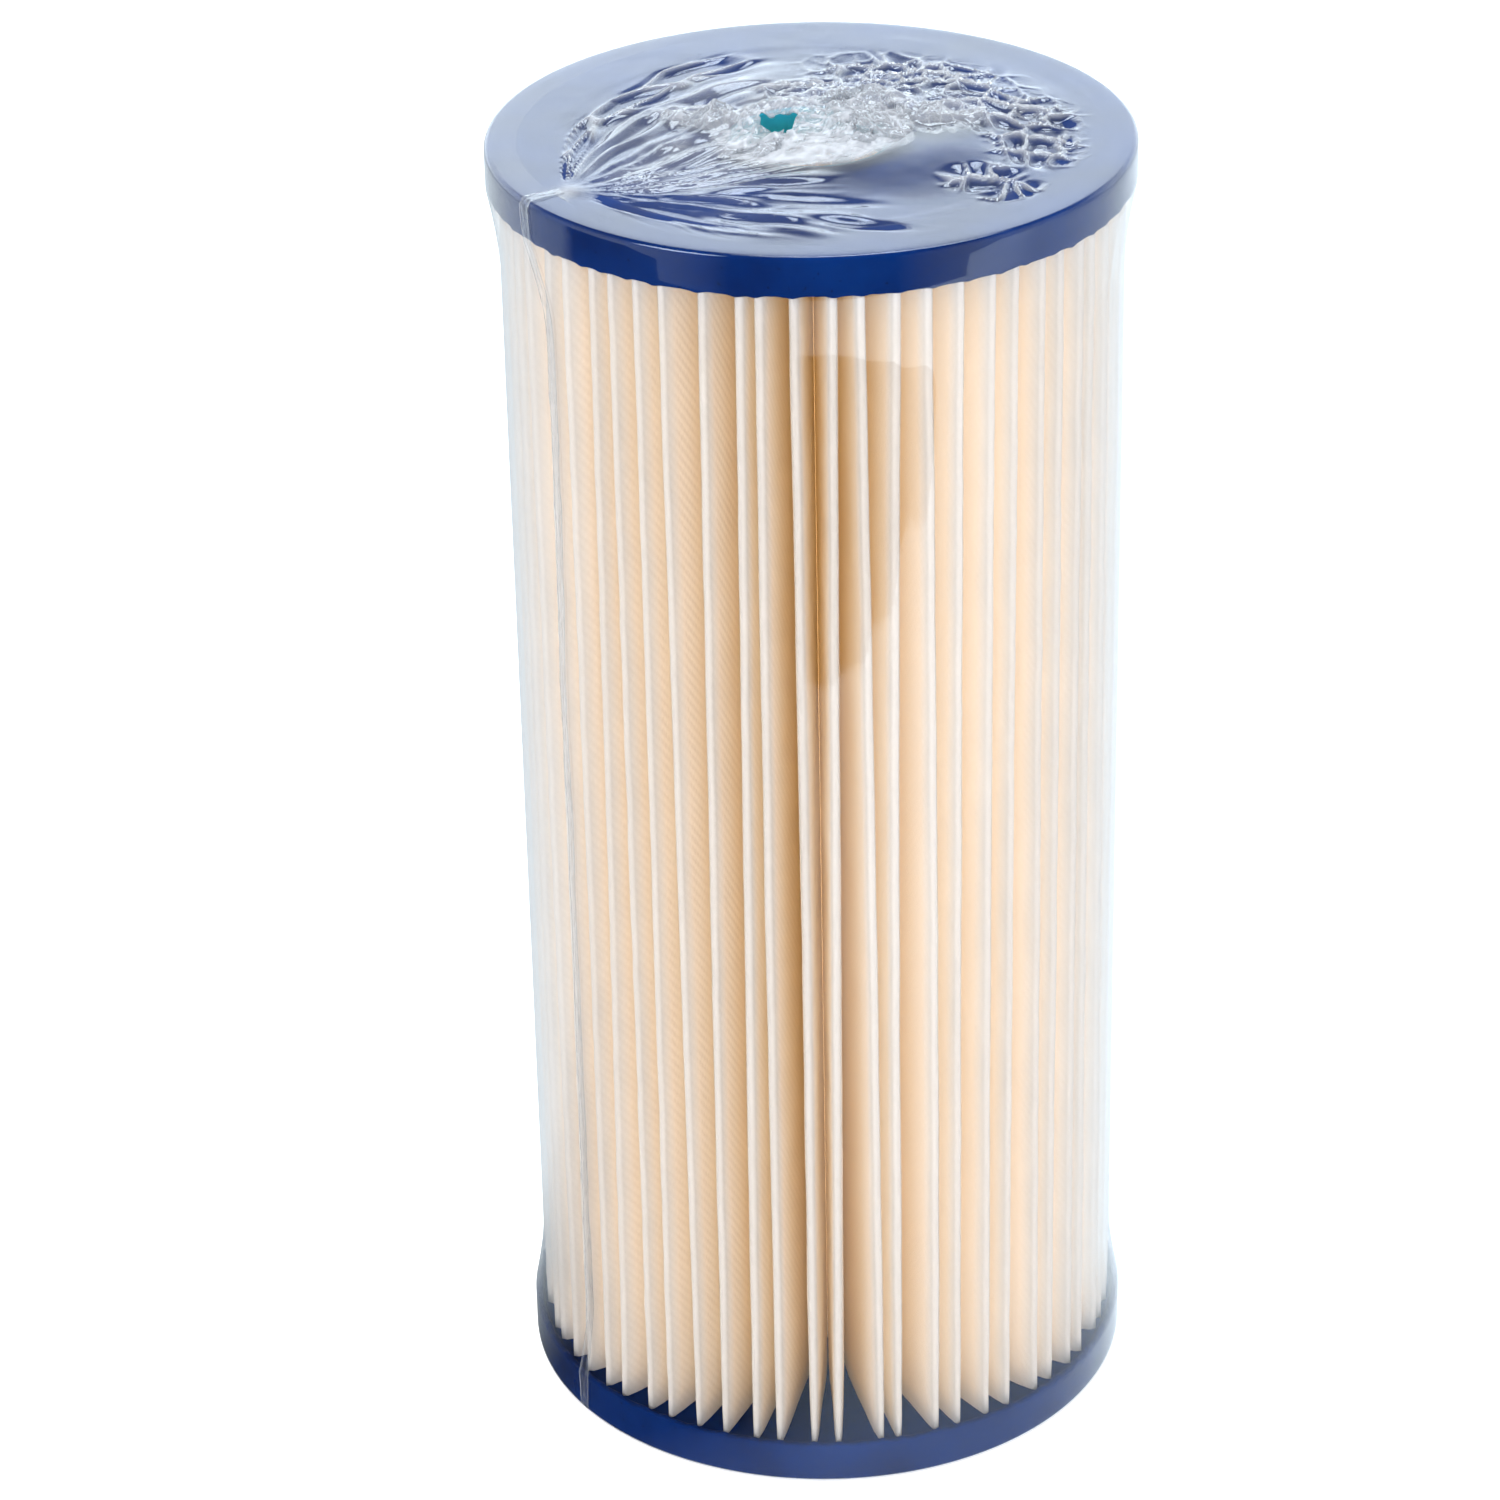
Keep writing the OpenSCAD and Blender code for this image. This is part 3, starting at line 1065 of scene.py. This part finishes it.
@dataclass
class FilmWeld:
    """The lap weld: a narrow doubled strip up the side and over both rims."""

    sleeve: FilmSleeve
    azimuth: float = 215.5
    width: float = 2.6
    lift: float = 0.10
    reach_r: float = 50.0
    across: int = 15

    def build(self, film: bpy.types.Material) -> None:
        """Builds the strip, whose edges wander and curl and whose middle is puckered.

        Its middle line goes up the side at one azimuth plus slow noise, leans to the left
        near the top, and turns a quarter circle onto each face.

        Args:
            film: Its material.
        """
        s = self.sleeve.size
        turn = 1.0
        side_z = np.concatenate([
            np.linspace(s.bottom_face + turn, s.bottom_rim, 8),
            np.linspace(s.bottom_rim + 0.6, s.top_rim - 0.6, 220),
            np.linspace(s.top_rim, s.top_face - turn, 8),
        ])
        corner = np.radians(np.linspace(0, 90, 6))[1:]
        inner, reach = s.cap_r - turn, turn + self.sleeve.gap
        flat_r = np.linspace(inner - 0.6, self.reach_r, 12)
        end_r = np.concatenate([inner + reach * np.cos(corner), flat_r])
        end_z = np.concatenate([reach * np.sin(corner) - turn, 0 * flat_r + self.sleeve.gap])
        z = np.concatenate([(s.bottom_face - end_z)[::-1], side_z, s.top_face + end_z])
        middle = (z > s.bottom_face + turn - 0.01) & (z < s.top_face - turn + 0.01)
        t = np.linspace(-1, 1, self.across)[None, :]
        line = np.cumsum(np.concatenate([[0], np.hypot(np.diff(z), 0.7)]))[:, None]
        free = np.sin(np.pi * np.clip(s.share_up(z), 0, 1))[:, None]
        wander = 1.6 * gradient_noise(line / 75, 0 * line + 4, 91) * free
        half = self.width / 2 * (1 + 0.22 * gradient_noise(line / 13, t * 0.8, 92) - 0.3 * free)
        lean = -4.0 * smooth_step(s.top_rim - 18, s.top_face, z)[:, None]
        azimuth = self.azimuth + lean + wander + np.degrees(t * half / s.cap_r)
        radius = self.sleeve.radius_at(azimuth, z)
        r_end = np.concatenate([end_r[::-1], 0 * side_z, end_r])[:, None]
        radius = np.where(middle[:, None], radius, r_end)
        puckers = creased_noise(line / 7 + 0 * t, t * 1.6 + line / 30, 93, 3)
        at_edge = 0.5 + 0.5 * gradient_noise(line / 9, t, 94)
        curl = 0.22 * smooth_step(0.75, 1.0, np.abs(t)) * at_edge
        out = self.lift + 0.16 * puckers + curl
        upright = np.where(middle, 1.0, 0.0)[:, None]
        tilt = np.where(z > s.top_face / 2, 1.0, -0.3)[:, None] * (1 - upright)
        height = z[:, None] + out * tilt
        points = cylinder_points(radius + out * upright, np.radians(azimuth), height)
        points[..., 2] = np.maximum(points[..., 2], 0.02)
        haze = 0.02 + 0.28 * smooth_step(0.8, 1.0, np.abs(t)) + 0.25 * puckers**3
        strip = make_piece(
            "film_weld", points, grid_faces(len(z), self.across), film, {"haze": haze},
            ("film_lap_weld",),
        )
        thicken(strip, FILM_T)


@dataclass(frozen=True)
class Dent:
    """A long dent in the fan, which points away from the gather: raised where lift is above 0."""

    x: float
    y: float
    half_l: float
    half_w: float
    lift: float


@dataclass(frozen=True)
class Layer:
    """A loose layer of film on the crumpled band: its middle line's ends, width and height."""

    start: tuple[float, float]
    stop: tuple[float, float]
    half_w: float
    lift: float


@dataclass
class FilmDisc:
    """The film drawn together over one end: gathered, webbed with bubbles and crumpled.

    Heights are worked out at the top and lie on a disc that the sleeve's film meets. All of
    the long wrinkles run out from one gather point beside the weld.
    """

    size: Frame
    radius: float = 51.5
    gap: float = FILM_GAP
    steps: int = 216
    gather: tuple[float, float] = (-41.5, -26.5)
    hole: tuple[float, float] = (-5.6, -0.8)
    hole_r: tuple[float, float] = (3.3, 4.8)
    lowest: float = -0.62
    dents: tuple[Dent, ...] = (
        Dent(-25.9, -35.3, 9.0, 2.0, -0.75),
        Dent(-9.0, -40.5, 10.0, 1.6, -0.65),
        Dent(-3.0, -45.0, 5.5, 1.8, 0.55),
        Dent(4.5, -39.6, 4.5, 1.3, 0.5),
        Dent(-4.8, -23.3, 6.0, 1.5, 0.7),
        Dent(-12.4, -26.8, 5.0, 1.1, 0.6),
        Dent(8.0, -42.5, 7.0, 1.6, -0.6),
        Dent(-14.0, -33.0, 7.0, 1.3, -0.5),
        Dent(-15.0, -50.0, 9.0, 1.0, -0.3),
        Dent(-25.0, -43.5, 7.0, 0.9, -0.3),
        Dent(1.0, -32.5, 8.0, 1.3, -0.45),
    )
    layers: tuple[Layer, ...] = (
        Layer((1, 8), (16, 9), 8.0, 2.4),
        Layer((3, -4), (16, -3), 7.5, 2.0),
        Layer((10, 4), (29, 1), 5.5, 1.6),
        Layer((-25, 8), (-12, 5), 4.2, 1.2),
        Layer((-15, -9), (1, -12), 4.0, 0.7),
    )

    def grid(self) -> tuple[np.ndarray, np.ndarray]:
        """A square grid drawn onto the disc: x = u (1 - v^2 / 2)^0.5 R, and y likewise."""
        side = np.linspace(-1, 1, self.steps + 1)
        u, v = np.meshgrid(side, side)
        return self.radius * u * np.sqrt(1 - v * v / 2), self.radius * v * np.sqrt(1 - u * u / 2)

    @staticmethod
    def blob(
        x: np.ndarray, y: np.ndarray, cx: float, cy: float, rx: float, ry: float,
        turn: float = 0.0, soft: float = 0.35,
    ) -> np.ndarray:
        """1 within a turned ellipse, 0 outside, with a soft edge.

        Args:
            x: Places.
            y: Places.
            cx: The ellipse's middle.
            cy: The ellipse's middle.
            rx: Its first radius.
            ry: Its second radius.
            turn: How far its first radius is turned from +X, in degrees.
            soft: Half width of the edge, as a share of the radii.

        Returns:
            Shares from 0 to 1, in the shape of x and y.
        """
        c, s = math.cos(math.radians(turn)), math.sin(math.radians(turn))
        dx, dy = x - cx, y - cy
        away = np.hypot((dx * c + dy * s) / rx, (dy * c - dx * s) / ry)
        return smooth_step(1 + soft, 1 - soft, away)

    def polar(self, x: np.ndarray, y: np.ndarray) -> tuple[np.ndarray, np.ndarray]:
        """Distance from the gather point and angle about it in degrees."""
        dx, dy = x - self.gather[0], y - self.gather[1]
        return np.hypot(dx, dy), np.degrees(np.arctan2(dy, dx))

    def fan(self, x: np.ndarray, y: np.ndarray) -> tuple[np.ndarray, np.ndarray]:
        """Wrinkles that run out from the gather point.

        In polar coordinates about that point the crests are creased noise, many times finer
        across (by angle) than along (by distance). They fade in over the first few
        millimetres and fade out towards the rim and the smooth right-hand side. Long dents
        lie between them on the near side.

        Args:
            x: Places.
            y: Places.

        Returns:
            Heights and milkiness.
        """
        away, angle = self.polar(x, y)
        bend = angle + 4.0 * gradient_noise(away / 24, angle / 30, 3)
        crests = creased_noise(bend / 7.5, away / 26, 17, 2)
        folds = gradient_noise(bend / 8.0, away / 30, 23)
        front = smooth_step(-50, -40, angle) * smooth_step(2, -6, angle)
        middle = smooth_step(-6, 4, angle) * smooth_step(66, 52, angle)
        near = smooth_step(1, 14, away)
        front = front * smooth_step(54, 34, away)
        strength = near * (0.55 * front + 0.95 * middle * smooth_step(50, 28, away))
        height = strength * (0.95 * crests + 0.8 * folds - 0.4)
        haze = strength * (0.22 * crests**3 + 0.10 * middle)
        for dent in self.dents:
            turn = math.degrees(math.atan2(dent.y - self.gather[1], dent.x - self.gather[0]))
            within = self.blob(x, y, dent.x, dent.y, dent.half_l, dent.half_w, turn, 0.9)
            height = height * (1 - 0.7 * within) + dent.lift * within
            haze = haze * (1 - within)
        knot = np.exp(-((away / 2.6) ** 2))
        return height + 0.7 * knot, haze + 0.35 * knot

    def web(self, x: np.ndarray, y: np.ndarray) -> tuple[np.ndarray, np.ndarray]:
        """Bubbles: round cells, each a dip, between thin raised strands.

        The strands stand where the cells' wall measure is near 0. The cells are warped by
        slow noise, and some hold finer cells.

        Args:
            x: Places.
            y: Places.

        Returns:
            Heights and milkiness.
        """
        wx = x + 2.2 * gradient_noise(x / 7, y / 7, 5)
        wy = y + 2.2 * gradient_noise(x / 7, y / 7, 6)
        where = np.maximum.reduce([
            self.blob(x, y, 19, 24, 17, 9.5, -28, 0.6),
            self.blob(x, y, 34, 6, 11, 9, -20, 0.6),
            self.blob(x, y, 39, -9, 7, 8, 20, 0.6),
            self.blob(x, y, 29, -23.5, 6, 4.4, 10, 0.5),
            self.blob(x, y, 34, -29.5, 5, 2.6, 30, 0.7),
            self.blob(x, y, -2, 19, 8, 4.2, 14, 0.5),
        ])
        measure, cell = cell_walls(wx / 5.2, wy / 6.4, 8)
        fine, _ = cell_walls(wx / 2.6, wy / 3.0, 19)
        open_web = smooth_step(0.22, 0.5, cell)
        strand = np.exp(-((measure / (0.06 + 0.06 * cell)) ** 2))
        small = np.exp(-((fine / 0.12) ** 2)) * (1 - open_web)
        bowl = smooth_step(0.03, 0.55, measure)
        height = where * (0.9 * strand + 0.45 * small - 1.1 * bowl * (0.35 + 0.65 * cell))
        haze = where * (0.62 * strand + 0.36 * small)
        return height, haze

    def stretched(self, x: np.ndarray, y: np.ndarray) -> tuple[np.ndarray, np.ndarray]:
        """Long cells and grooves at the far left, that curve round from the gather point.

        They follow lines on which the angle about that point plus 0.47 degrees for each
        millimetre from it stays the same.

        Args:
            x: Places.
            y: Places.

        Returns:
            Heights and milkiness.
        """
        away, angle = self.polar(x, y)
        q = angle + 0.47 * away + 1.6 * gradient_noise(x / 12, y / 12, 15)
        ends = smooth_step(4, 10, away) * smooth_step(74, 62, away)
        cells = smooth_step(93, 95.5, q) * smooth_step(104, 102, q) * ends
        measure, _ = cell_walls(q / 5.2 + 0.3, away / 17.0 + q / 21, 41)
        strand = np.exp(-((measure / 0.10) ** 2))
        grooves = smooth_step(70, 80, q) * smooth_step(95, 92, q) * ends
        folds = creased_noise(q / 11.0, away / 52, 43, 2)
        swells = gradient_noise(q / 8.5, away / 50, 47)
        height = cells * (0.5 * strand - 0.95 * smooth_step(0, 0.6, measure))
        height = height + grooves * (0.7 * folds + 1.3 * swells - 0.2)
        return height, cells * 0.5 * strand + grooves * (0.05 + 0.40 * folds**3)

    def band(self, x: np.ndarray, y: np.ndarray) -> tuple[np.ndarray, np.ndarray, np.ndarray]:
        """The crumpled band across the bore, in four soft ellipses, and the saddle it stands on.

        Args:
            x: Places.
            y: Places.

        Returns:
            Heights, how far each place belongs to the band, and milkiness.
        """
        where = np.maximum.reduce([
            self.blob(x, y, -18, 6.5, 9, 4.6, -22, 0.5),
            self.blob(x, y, -6, 2.0, 9, 8.0, 0, 0.4),
            self.blob(x, y, 7, 5.0, 12.0, 11.5, 10, 0.4),
            self.blob(x, y, 20, 4.0, 10, 5.0, -10, 0.5),
        ])
        saddle = self.blob(x, y, 12, 2, 25, 36, 0, 0.5)
        saddle = saddle * smooth_step(-37, -10, y) * smooth_step(34, 14, y)
        creases = creased_noise(x / 6.0 + 3, y / 6.0, 27, 3)
        lumps = gradient_noise(x / 6, y / 6, 33)
        height = 1.9 * saddle + where * (1.0 + 1.7 * (creases - 0.35) + 1.0 * lumps)
        walls, _ = cell_walls(x / 3.3 + lumps, y / 3.6 + 0.6 * creases, 71)
        strand = np.exp(-((walls / 0.11) ** 2))
        over_bore = smooth_step(18.5, 15.0, np.hypot(x, y)) * smooth_step(14, 8, y)
        height = height + (0.35 * strand - 0.2) * np.maximum(where, over_bore)
        milky = np.maximum(where * (0.16 + 0.40 * creases**2), over_bore * (0.20 + 0.30 * creases))
        # In front of the bore the film is milkier, and hides the edge of the opening.
        in_front = smooth_step(20.5, 17.0, np.hypot(x, y)) * smooth_step(-4, -10, y)
        near_edge = in_front * (0.14 + 0.55 * creases)
        return height, where, milky + near_edge + 0.4 * strand * np.maximum(where, over_bore)

    def surface(self, x: np.ndarray, y: np.ndarray) -> tuple[np.ndarray, np.ndarray]:
        """Height above the rim's film, and milkiness, with every feature added up.

        Args:
            x: Places.
            y: Places.

        Returns:
            Heights and milkiness.
        """
        raised, band, milky = self.band(x, y)
        fan, fan_haze = self.fan(x, y)
        web, web_haze = self.web(x, y)
        long_cells, long_haze = self.stretched(x, y)
        off_band = 1 - 0.75 * band
        height = raised + off_band * (fan + web + long_cells)
        haze = 0.012 + milky + off_band * (fan_haze + web_haze + long_haze)
        r = np.hypot(x, y)
        step = 0.05 * smooth_step(43.5, 41.5, r)
        ripple = 0.05 * layered_noise(x / 14, y / 14, 51, 3)
        edge = smooth_step(self.radius, self.radius - 7, r)
        height = height * edge + (ripple - step) * smooth_step(self.radius, self.radius - 3, r)
        overlap = self.overlap(x, y)
        return np.maximum(height, self.lowest), np.clip(haze + 0.22 * overlap, 0, 0.95)

    def overlap(self, x: np.ndarray, y: np.ndarray) -> np.ndarray:
        """Where the lap's loose edge doubles the film beside the weld.

        The edge starts beside the weld and runs straight on across the face, but for a
        bend of 0.0045 times the square of the way along it.

        Args:
            x: Places.
            y: Places.

        Returns:
            Shares from 0 to 1.
        """
        along = (x + 42.5) * 0.42 - (y + 28.0) * 0.91
        off = (x + 42.5) * 0.91 + (y + 28.0) * 0.42 - 0.0045 * along**2
        beyond = smooth_step(-0.2, 0.6, along)
        return smooth_step(0.15, -0.15, off) * beyond

    def build(self, film: bpy.types.Material) -> None:
        """Builds the disc with its hole, and the loose crumpled layers on the band.

        The hole is the faces within an ellipse with a ragged edge, and the points left
        inside that edge are drawn out onto it.

        Args:
            film: Its material.
        """
        x, y = self.grid()
        height, haze = self.surface(x, y)
        z = self.size.top_face + self.gap + height
        points = np.stack([x, y, z], axis=-1)
        faces = grid_faces(*x.shape)
        ragged = 1 + 0.25 * gradient_noise(np.arctan2(y, x) * 1.5, x / 3, 2)
        in_hole = np.hypot((x - self.hole[0]) / self.hole_r[0], (y - self.hole[1]) / self.hole_r[1])
        into = (in_hole / ragged).ravel()
        faces = faces[(into[faces] > 1).any(axis=1)]
        flat = points.reshape(-1, 3)
        out = (np.clip(1 / np.maximum(into, 0.05), 1, 20) - 1)[:, None]
        flat[:, :2] += out * (flat[:, :2] - np.array(self.hole))
        keep, renumbered = np.unique(faces, return_inverse=True)
        disc = make_piece(
            "film_over_top", flat[keep], renumbered.reshape(faces.shape),
            film, {"haze": haze.ravel()[keep]}, ("film_top_gather",),
        )
        thicken(disc, FILM_T)
        for number, layer in enumerate(self.layers):
            self.crumpled_layer(number, layer, film)

    def build_under(self, film: bpy.types.Material) -> None:
        """Builds the film drawn together under the bottom face, which stays flat to stand on.

        Args:
            film: Its material.
        """
        around = np.linspace(0, 2 * math.pi, 240, endpoint=False)
        azimuth, r = np.meshgrid(around, np.linspace(self.size.bore_r + 1.4, self.radius, 60))
        inside = smooth_step(44.0, 41.0, r)
        crests = creased_noise(azimuth * 24 / (2 * math.pi), r / 26, 77, 3)
        closing = creased_noise((azimuth % math.pi) * 14 / math.pi, r / 26, 77, 3)
        crests = np.where(azimuth > math.pi * 1.9, closing, crests)
        z = 0.10 + 0.45 * inside * crests * smooth_step(self.radius, 38, r)
        points = cylinder_points(r, azimuth, z)
        faces = grid_faces(*r.shape, wrap_columns=True)
        disc = make_piece(
            "film_under_base", points, faces[:, ::-1], film,
            {"haze": 0.02 + 0.3 * inside * crests**3}, ("film_bottom_gather",),
        )
        thicken(disc, FILM_T)

    def crumpled_layer(self, number: int, layer: Layer, film: bpy.types.Material) -> None:
        """A loose layer of film, creased over itself.

        A flat strip from start to stop is moved by three noises, one to each axis, that
        are strong enough sideways to fold it, and settles at its edges.

        Args:
            number: Chooses the noises and the piece's name.
            layer: Where the strip lies.
            film: Its material.
        """
        long_steps, wide_steps = 170, 100
        s, t = np.meshgrid(np.linspace(0, 1, long_steps), np.linspace(-1, 1, wide_steps))
        a, b = np.array(layer.start, dtype=float), np.array(layer.stop, dtype=float)
        length = float(np.hypot(*(b - a)))
        ahead = (b - a) / length
        ends = np.sin(np.pi * np.clip(s, 0.0, 1.0)) ** 0.5
        across = t * layer.half_w * (0.35 + 0.65 * ends)
        u, v = s * length / 5.0, across / 5.0
        seed = 100 + 10 * number
        shift_u, shift_v = (
            2.6 * gradient_noise(u, v, k) + 0.9 * gradient_noise(u * 2.3, v * 2.3, k + 1)
            for k in (seed, seed + 2)
        )
        walls, _ = cell_walls(u * 1.9 + shift_u / 3, v * 1.9 + shift_v / 3, seed + 6)
        strand = np.exp(-((walls / 0.10) ** 2))
        creases = creased_noise(u, v, seed + 5, 3)
        bump = 1.7 * gradient_noise(u, v, seed + 4) + 1.3 * (creases - 0.4) + 0.5 * strand
        x = a[0] + ahead[0] * (s * length + shift_u) - ahead[1] * (across + shift_v)
        y = a[1] + ahead[1] * (s * length + shift_u) + ahead[0] * (across + shift_v)
        base, _ = self.surface(x, y)
        edge = np.clip(1 - t**4, 0, 1) * ends
        rise = np.clip(layer.lift * edge + bump * (0.3 + 0.7 * edge), 0.15, 4.2)
        z = self.size.top_face + self.gap + np.maximum(base, 0) * 0.35 + rise
        haze = 0.10 + 0.30 * creases**2 + 0.40 * strand
        strip = make_piece(
            f"film_crumple_{number + 1}", np.stack([x, y, z], axis=-1), grid_faces(*x.shape),
            film, {"haze": haze},
        )
        thicken(strip, FILM_T)


@dataclass(frozen=True)
class SoftBox:
    """A square lamp: its place and side in metres, and its power in watts."""

    name: str
    place: Place
    side: float
    power: float


@dataclass
class Studio:
    """The pale floor, the soft lights and the camera."""

    ambient: float = 0.55
    dark: float = 0.03
    bright: float = 1.90
    cool: Colour = (0.88, 1.0, 1.09, 1)
    floor_glow: float = 0.55
    floor_mirrored: float = 0.85
    white: Colour = (1, 1, 1, 1)
    backdrop: float = 1.1
    lamps_mirrored: tuple[Place, ...] = ((0.10, 0.50, 0.86), (-0.55, -0.30, 0.78))
    lamp_edge: tuple[float, float] = (0.972, 0.984)
    lamp_glow: float = 7.0
    floor_edge_y: float = -0.381
    floor_half: float = 3.0
    target: Place = (0, 0, 0.12)
    boxes: tuple[SoftBox, ...] = (
        SoftBox("left_box", (-1.2, -1.3, 0.9), 0.9, 8.0),
        SoftBox("right_box", (1.2, -1.2, 0.8), 0.9, 2.8),
        SoftBox("front_box", (0.0, -1.7, 0.75), 0.8, 14.0),
        SoftBox("overhead", (0.0, 0.1, 1.7), 1.2, 29.0),
    )
    viewpoint: Place = (0, -0.8345, 0.5705)
    pitch_yaw_roll: Place = (28.055, 0.888, 1.228)
    lens: float = 121.81

    def build(self) -> None:
        """Builds everything that isn't the cartridge."""
        self.surroundings()
        self.floors()
        self.lamps()
        self.camera()

    def surroundings(self) -> None:
        """White to look at; bright behind, above and at the sides, dark in front."""
        world = bpy.data.worlds.new("studio")
        bpy.context.scene.world = world
        w = NodeTree(world)
        direction = w.node("TexCoord").outputs["Generated"]
        way = w.node("SeparateXYZ", {0: direction})
        behind = w.remap(way.outputs["Y"], 0.15, 0.55)
        low = w.remap(way.outputs["Z"], 0.66, 0.46)
        side = w.remap(w.math("ABSOLUTE", way.outputs["X"]), 0.45, 0.95, 0.0, 0.5)
        lit = w.math("MAXIMUM", w.math("MULTIPLY", behind, low), side)
        mirrored = w.remap(lit, 0.0, 1.0, self.dark, self.bright)
        for spot in self.lamps_mirrored:
            near = w.node("VectorMath", {0: direction, 1: spot}, operation="DOT_PRODUCT")
            glow = w.remap(near.outputs["Value"], *self.lamp_edge, 0.0, self.lamp_glow)
            mirrored = w.math("ADD", mirrored, glow)
        path = w.node("LightPath")
        soft = w.node("Background", {"Color": self.white, "Strength": self.ambient})
        pattern = w.node("Background", {"Color": self.cool, "Strength": mirrored})
        backdrop = w.node("Background", {"Color": self.white, "Strength": self.backdrop})
        first = w.mix(path.outputs["Is Glossy Ray"], soft, pattern)
        last = w.mix(path.outputs["Is Camera Ray"], first, backdrop)
        w.node("OutputWorld", {"Surface": last.outputs[0]})

    def floors(self) -> None:
        """The floor, in two parts: the film mirrors only the one that the cartridge is on.

        As the film mirrors it, the floor is dark at the near left and brighter in front
        and to the right. It lights the cartridge evenly all the same.
        """
        r = Recipe("studio_floor")
        lit = r.node("BsdfPrincipled", {
            "Base Color": (0.93, 0.93, 0.93, 1), "Roughness": 0.9,
            "Emission Color": self.white, "Emission Strength": self.floor_glow,
        })
        way = r.node("SeparateXYZ", {0: r.object_place()})
        left = r.remap(way.outputs["X"], 0.0, -0.04)
        near = r.remap(way.outputs["Y"], 0.05, -0.02)
        lit_share = r.math("SUBTRACT", 1.0, r.product(left, near, 0.94))
        front = r.remap(way.outputs["Y"], -0.10, -0.24, 1.0, 1.5)
        right = r.remap(way.outputs["X"], 0.0, 0.08, 1.0, 1.35)
        shade = r.product(right, front, lit_share, self.floor_mirrored)
        dim = r.node("Emission", {"Color": self.cool, "Strength": shade})
        material = r.finish(r.mix(r.node("LightPath").outputs["Is Glossy Ray"], lit, dim))
        half = self.floor_half
        for name, low_y, high_y, mirrored in (
            ("floor", self.floor_edge_y, half, True),
            ("floor_front", -half, self.floor_edge_y, False),
        ):
            mesh = bpy.data.meshes.new(name)
            corners = [(-half, low_y, 0), (half, low_y, 0), (half, high_y, 0), (-half, high_y, 0)]
            mesh.from_pydata(corners, [], [(0, 1, 2, 3)])
            mesh.materials.append(material)
            floor = bpy.data.objects.new(name, mesh)
            floor.visible_glossy = mirrored
            bpy.context.scene.collection.objects.link(floor)

    def lamps(self) -> None:
        """Soft boxes in front and at both sides, and a broad one overhead."""
        for box in self.boxes:
            light = bpy.data.lights.new(box.name, "AREA")
            light.shape, light.size, light.energy = "SQUARE", box.side, box.power
            lamp = bpy.data.objects.new(box.name, light)
            lamp.location = box.place
            aim = Vector(self.target) - lamp.location
            lamp.rotation_mode = "QUATERNION"
            lamp.rotation_quaternion = aim.to_track_quat("-Z", "Y")
            lamp.visible_glossy = False
            lamp.visible_camera = False
            bpy.context.scene.collection.objects.link(lamp)

    def camera(self) -> None:
        """A long lens in front of the cartridge and above it, turned slightly on its axis."""
        pitch, yaw, roll = (math.radians(angle) for angle in self.pitch_yaw_roll)
        level = math.cos(pitch)
        right = Vector((math.cos(yaw), math.sin(yaw), 0))
        forward = Vector((-math.sin(yaw) * level, math.cos(yaw) * level, -math.sin(pitch)))
        up = right.cross(forward)
        across = right * math.cos(roll) - up * math.sin(roll)
        upward = right * math.sin(roll) + up * math.cos(roll)
        data = bpy.data.cameras.new("camera")
        data.sensor_width, data.lens = 36.0, self.lens
        data.clip_start, data.clip_end = 0.05, 20.0
        camera = bpy.data.objects.new("camera", data)
        turn = Matrix((across, upward, -forward)).transposed().to_4x4()
        camera.matrix_world = Matrix.Translation(self.viewpoint) @ turn
        bpy.context.scene.collection.objects.link(camera)
        bpy.context.scene.camera = camera


def main() -> None:
    """Builds the cartridge, part by part, and then the studio."""
    logging.basicConfig(level=logging.INFO, format="%(name)s: %(message)s")
    scene = bpy.context.scene
    scene.view_settings.view_transform = "Standard"
    scene.cycles.diffuse_bounces = 8
    scene.cycles.transparent_max_bounces = 20
    size = Frame()
    layout = PleatLayout(size)
    resin = CastBlue(bore_r=size.bore_r).material()
    film = ShrinkFilm().material()
    Studio().build()
    PleatedMedia(size, layout).build(PleatedPaper().material(), SetAdhesive().material())
    EndCap(size, layout, "top_cap", "top_end_cap", top=True).build(resin)
    EndCap(size, layout, "bottom_cap", "bottom_end_cap", top=False).build(resin)
    sleeve = FilmSleeve(size, layout)
    sleeve.build(film)
    FilmWeld(sleeve).build(film)
    ends = FilmDisc(size)
    ends.build(film)
    ends.build_under(film)
    core = frame["nodes"]["core_tube"]
    core.data.materials.clear()
    core.data.materials.append(MouldedWhite(size.core_r, wall=2.0).material())


if __name__ == "__main__":
    main()
